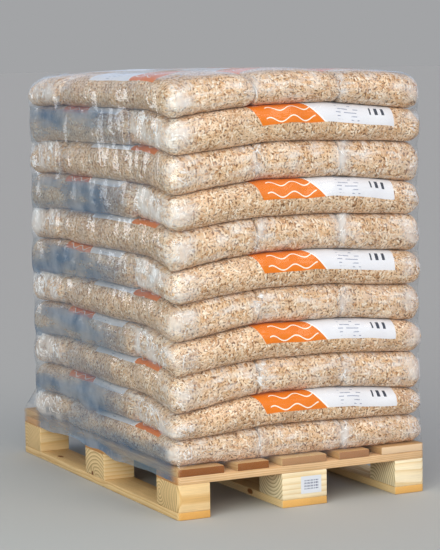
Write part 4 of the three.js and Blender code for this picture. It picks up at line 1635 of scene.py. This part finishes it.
def add_lamp(name, place, target, size, power, code, only_mirrored=False):
    """A soft square lamp that looks from its place at a target. It can be made to show in gloss alone."""
    data = bpy.data.lights.new(name, "AREA")
    data.shape = "RECTANGLE"
    data.size, data.size_y = size
    data.energy = power
    data.color = linear(code)[:3]
    lamp = bpy.data.objects.new(name, data)
    lamp.location = place
    lamp.rotation_euler = (Vector(target) - Vector(place)).to_track_quat("-Z", "Y").to_euler()
    lamp.visible_diffuse = not only_mirrored
    bpy.context.scene.collection.objects.link(lamp)


sun_data = bpy.data.lights.new("soft_daylight", "SUN")
sun_data.energy = SUN_STRENGTH
sun_data.angle = SUN_ANGLE
sun_data.color = linear("#FFEEDC")[:3]
sun = bpy.data.objects.new("soft_daylight", sun_data)
sun.rotation_euler = SUN_WAY.to_track_quat("-Z", "Y").to_euler()
bpy.context.scene.collection.objects.link(sun)
add_lamp("fill_lamp", (-3.2, -3.2, 1.9), (-0.4, -0.5, 0.7), (3.2, 2.2), 88, "#D6F0EC")
add_lamp("glint_lamp", (-2.4, 3.5, 1.25), (-0.4, 0.0, 0.7), (0.40, 1.7), 9.5, "#F2F8FF",
         only_mirrored=True)
print("soft daylight and two lamps")

# %% Sky
FLOOR_GREY, BRIGHT_BLUE = "#A3A4A6", "#C8DAF2"
SKY_COLOURS = [(0.0, FLOOR_GREY), (0.05, FLOOR_GREY), (0.14, BRIGHT_BLUE), (0.30, BRIGHT_BLUE),
               (0.55, "#8C98A8"), (1.0, "#A4AEBB")]
LEFT_STRENGTH, RIGHT_STRENGTH = 0.58, 1.05

bpy.context.scene.view_settings.view_transform = "Standard"
world = bpy.data.worlds.new("studio")
bpy.context.scene.world = world
world.use_nodes = True
tree = world.node_tree
tree.nodes.clear()
heading = node(tree, "TexCoord", {}, {})
parts = node(tree, "SeparateXYZ", {}, {"Vector": heading})
upward, sideways = parts.outputs["Z"], parts.outputs["X"]
sky_colour = node(tree, "ValToRGB", {}, {"Fac": upward})
set_stops(sky_colour, SKY_COLOURS)
strength = node(tree, "MapRange", {}, {
    "Value": sideways, "From Min": -0.8, "From Max": 0.2,
    "To Min": LEFT_STRENGTH, "To Max": RIGHT_STRENGTH})
above = node(tree, "MapRange", {}, {"Value": upward, "From Min": 0.04, "From Max": 0.16})
even = node(tree, "Mix", {"data_type": "FLOAT"}, {"Factor": above, "A": 1.0, "B": strength})
sky = node(tree, "Background", {}, {"Color": sky_colour, "Strength": even})
node(tree, "OutputWorld", {}, {"Surface": sky})
print("a pale blue sky over a grey horizon")
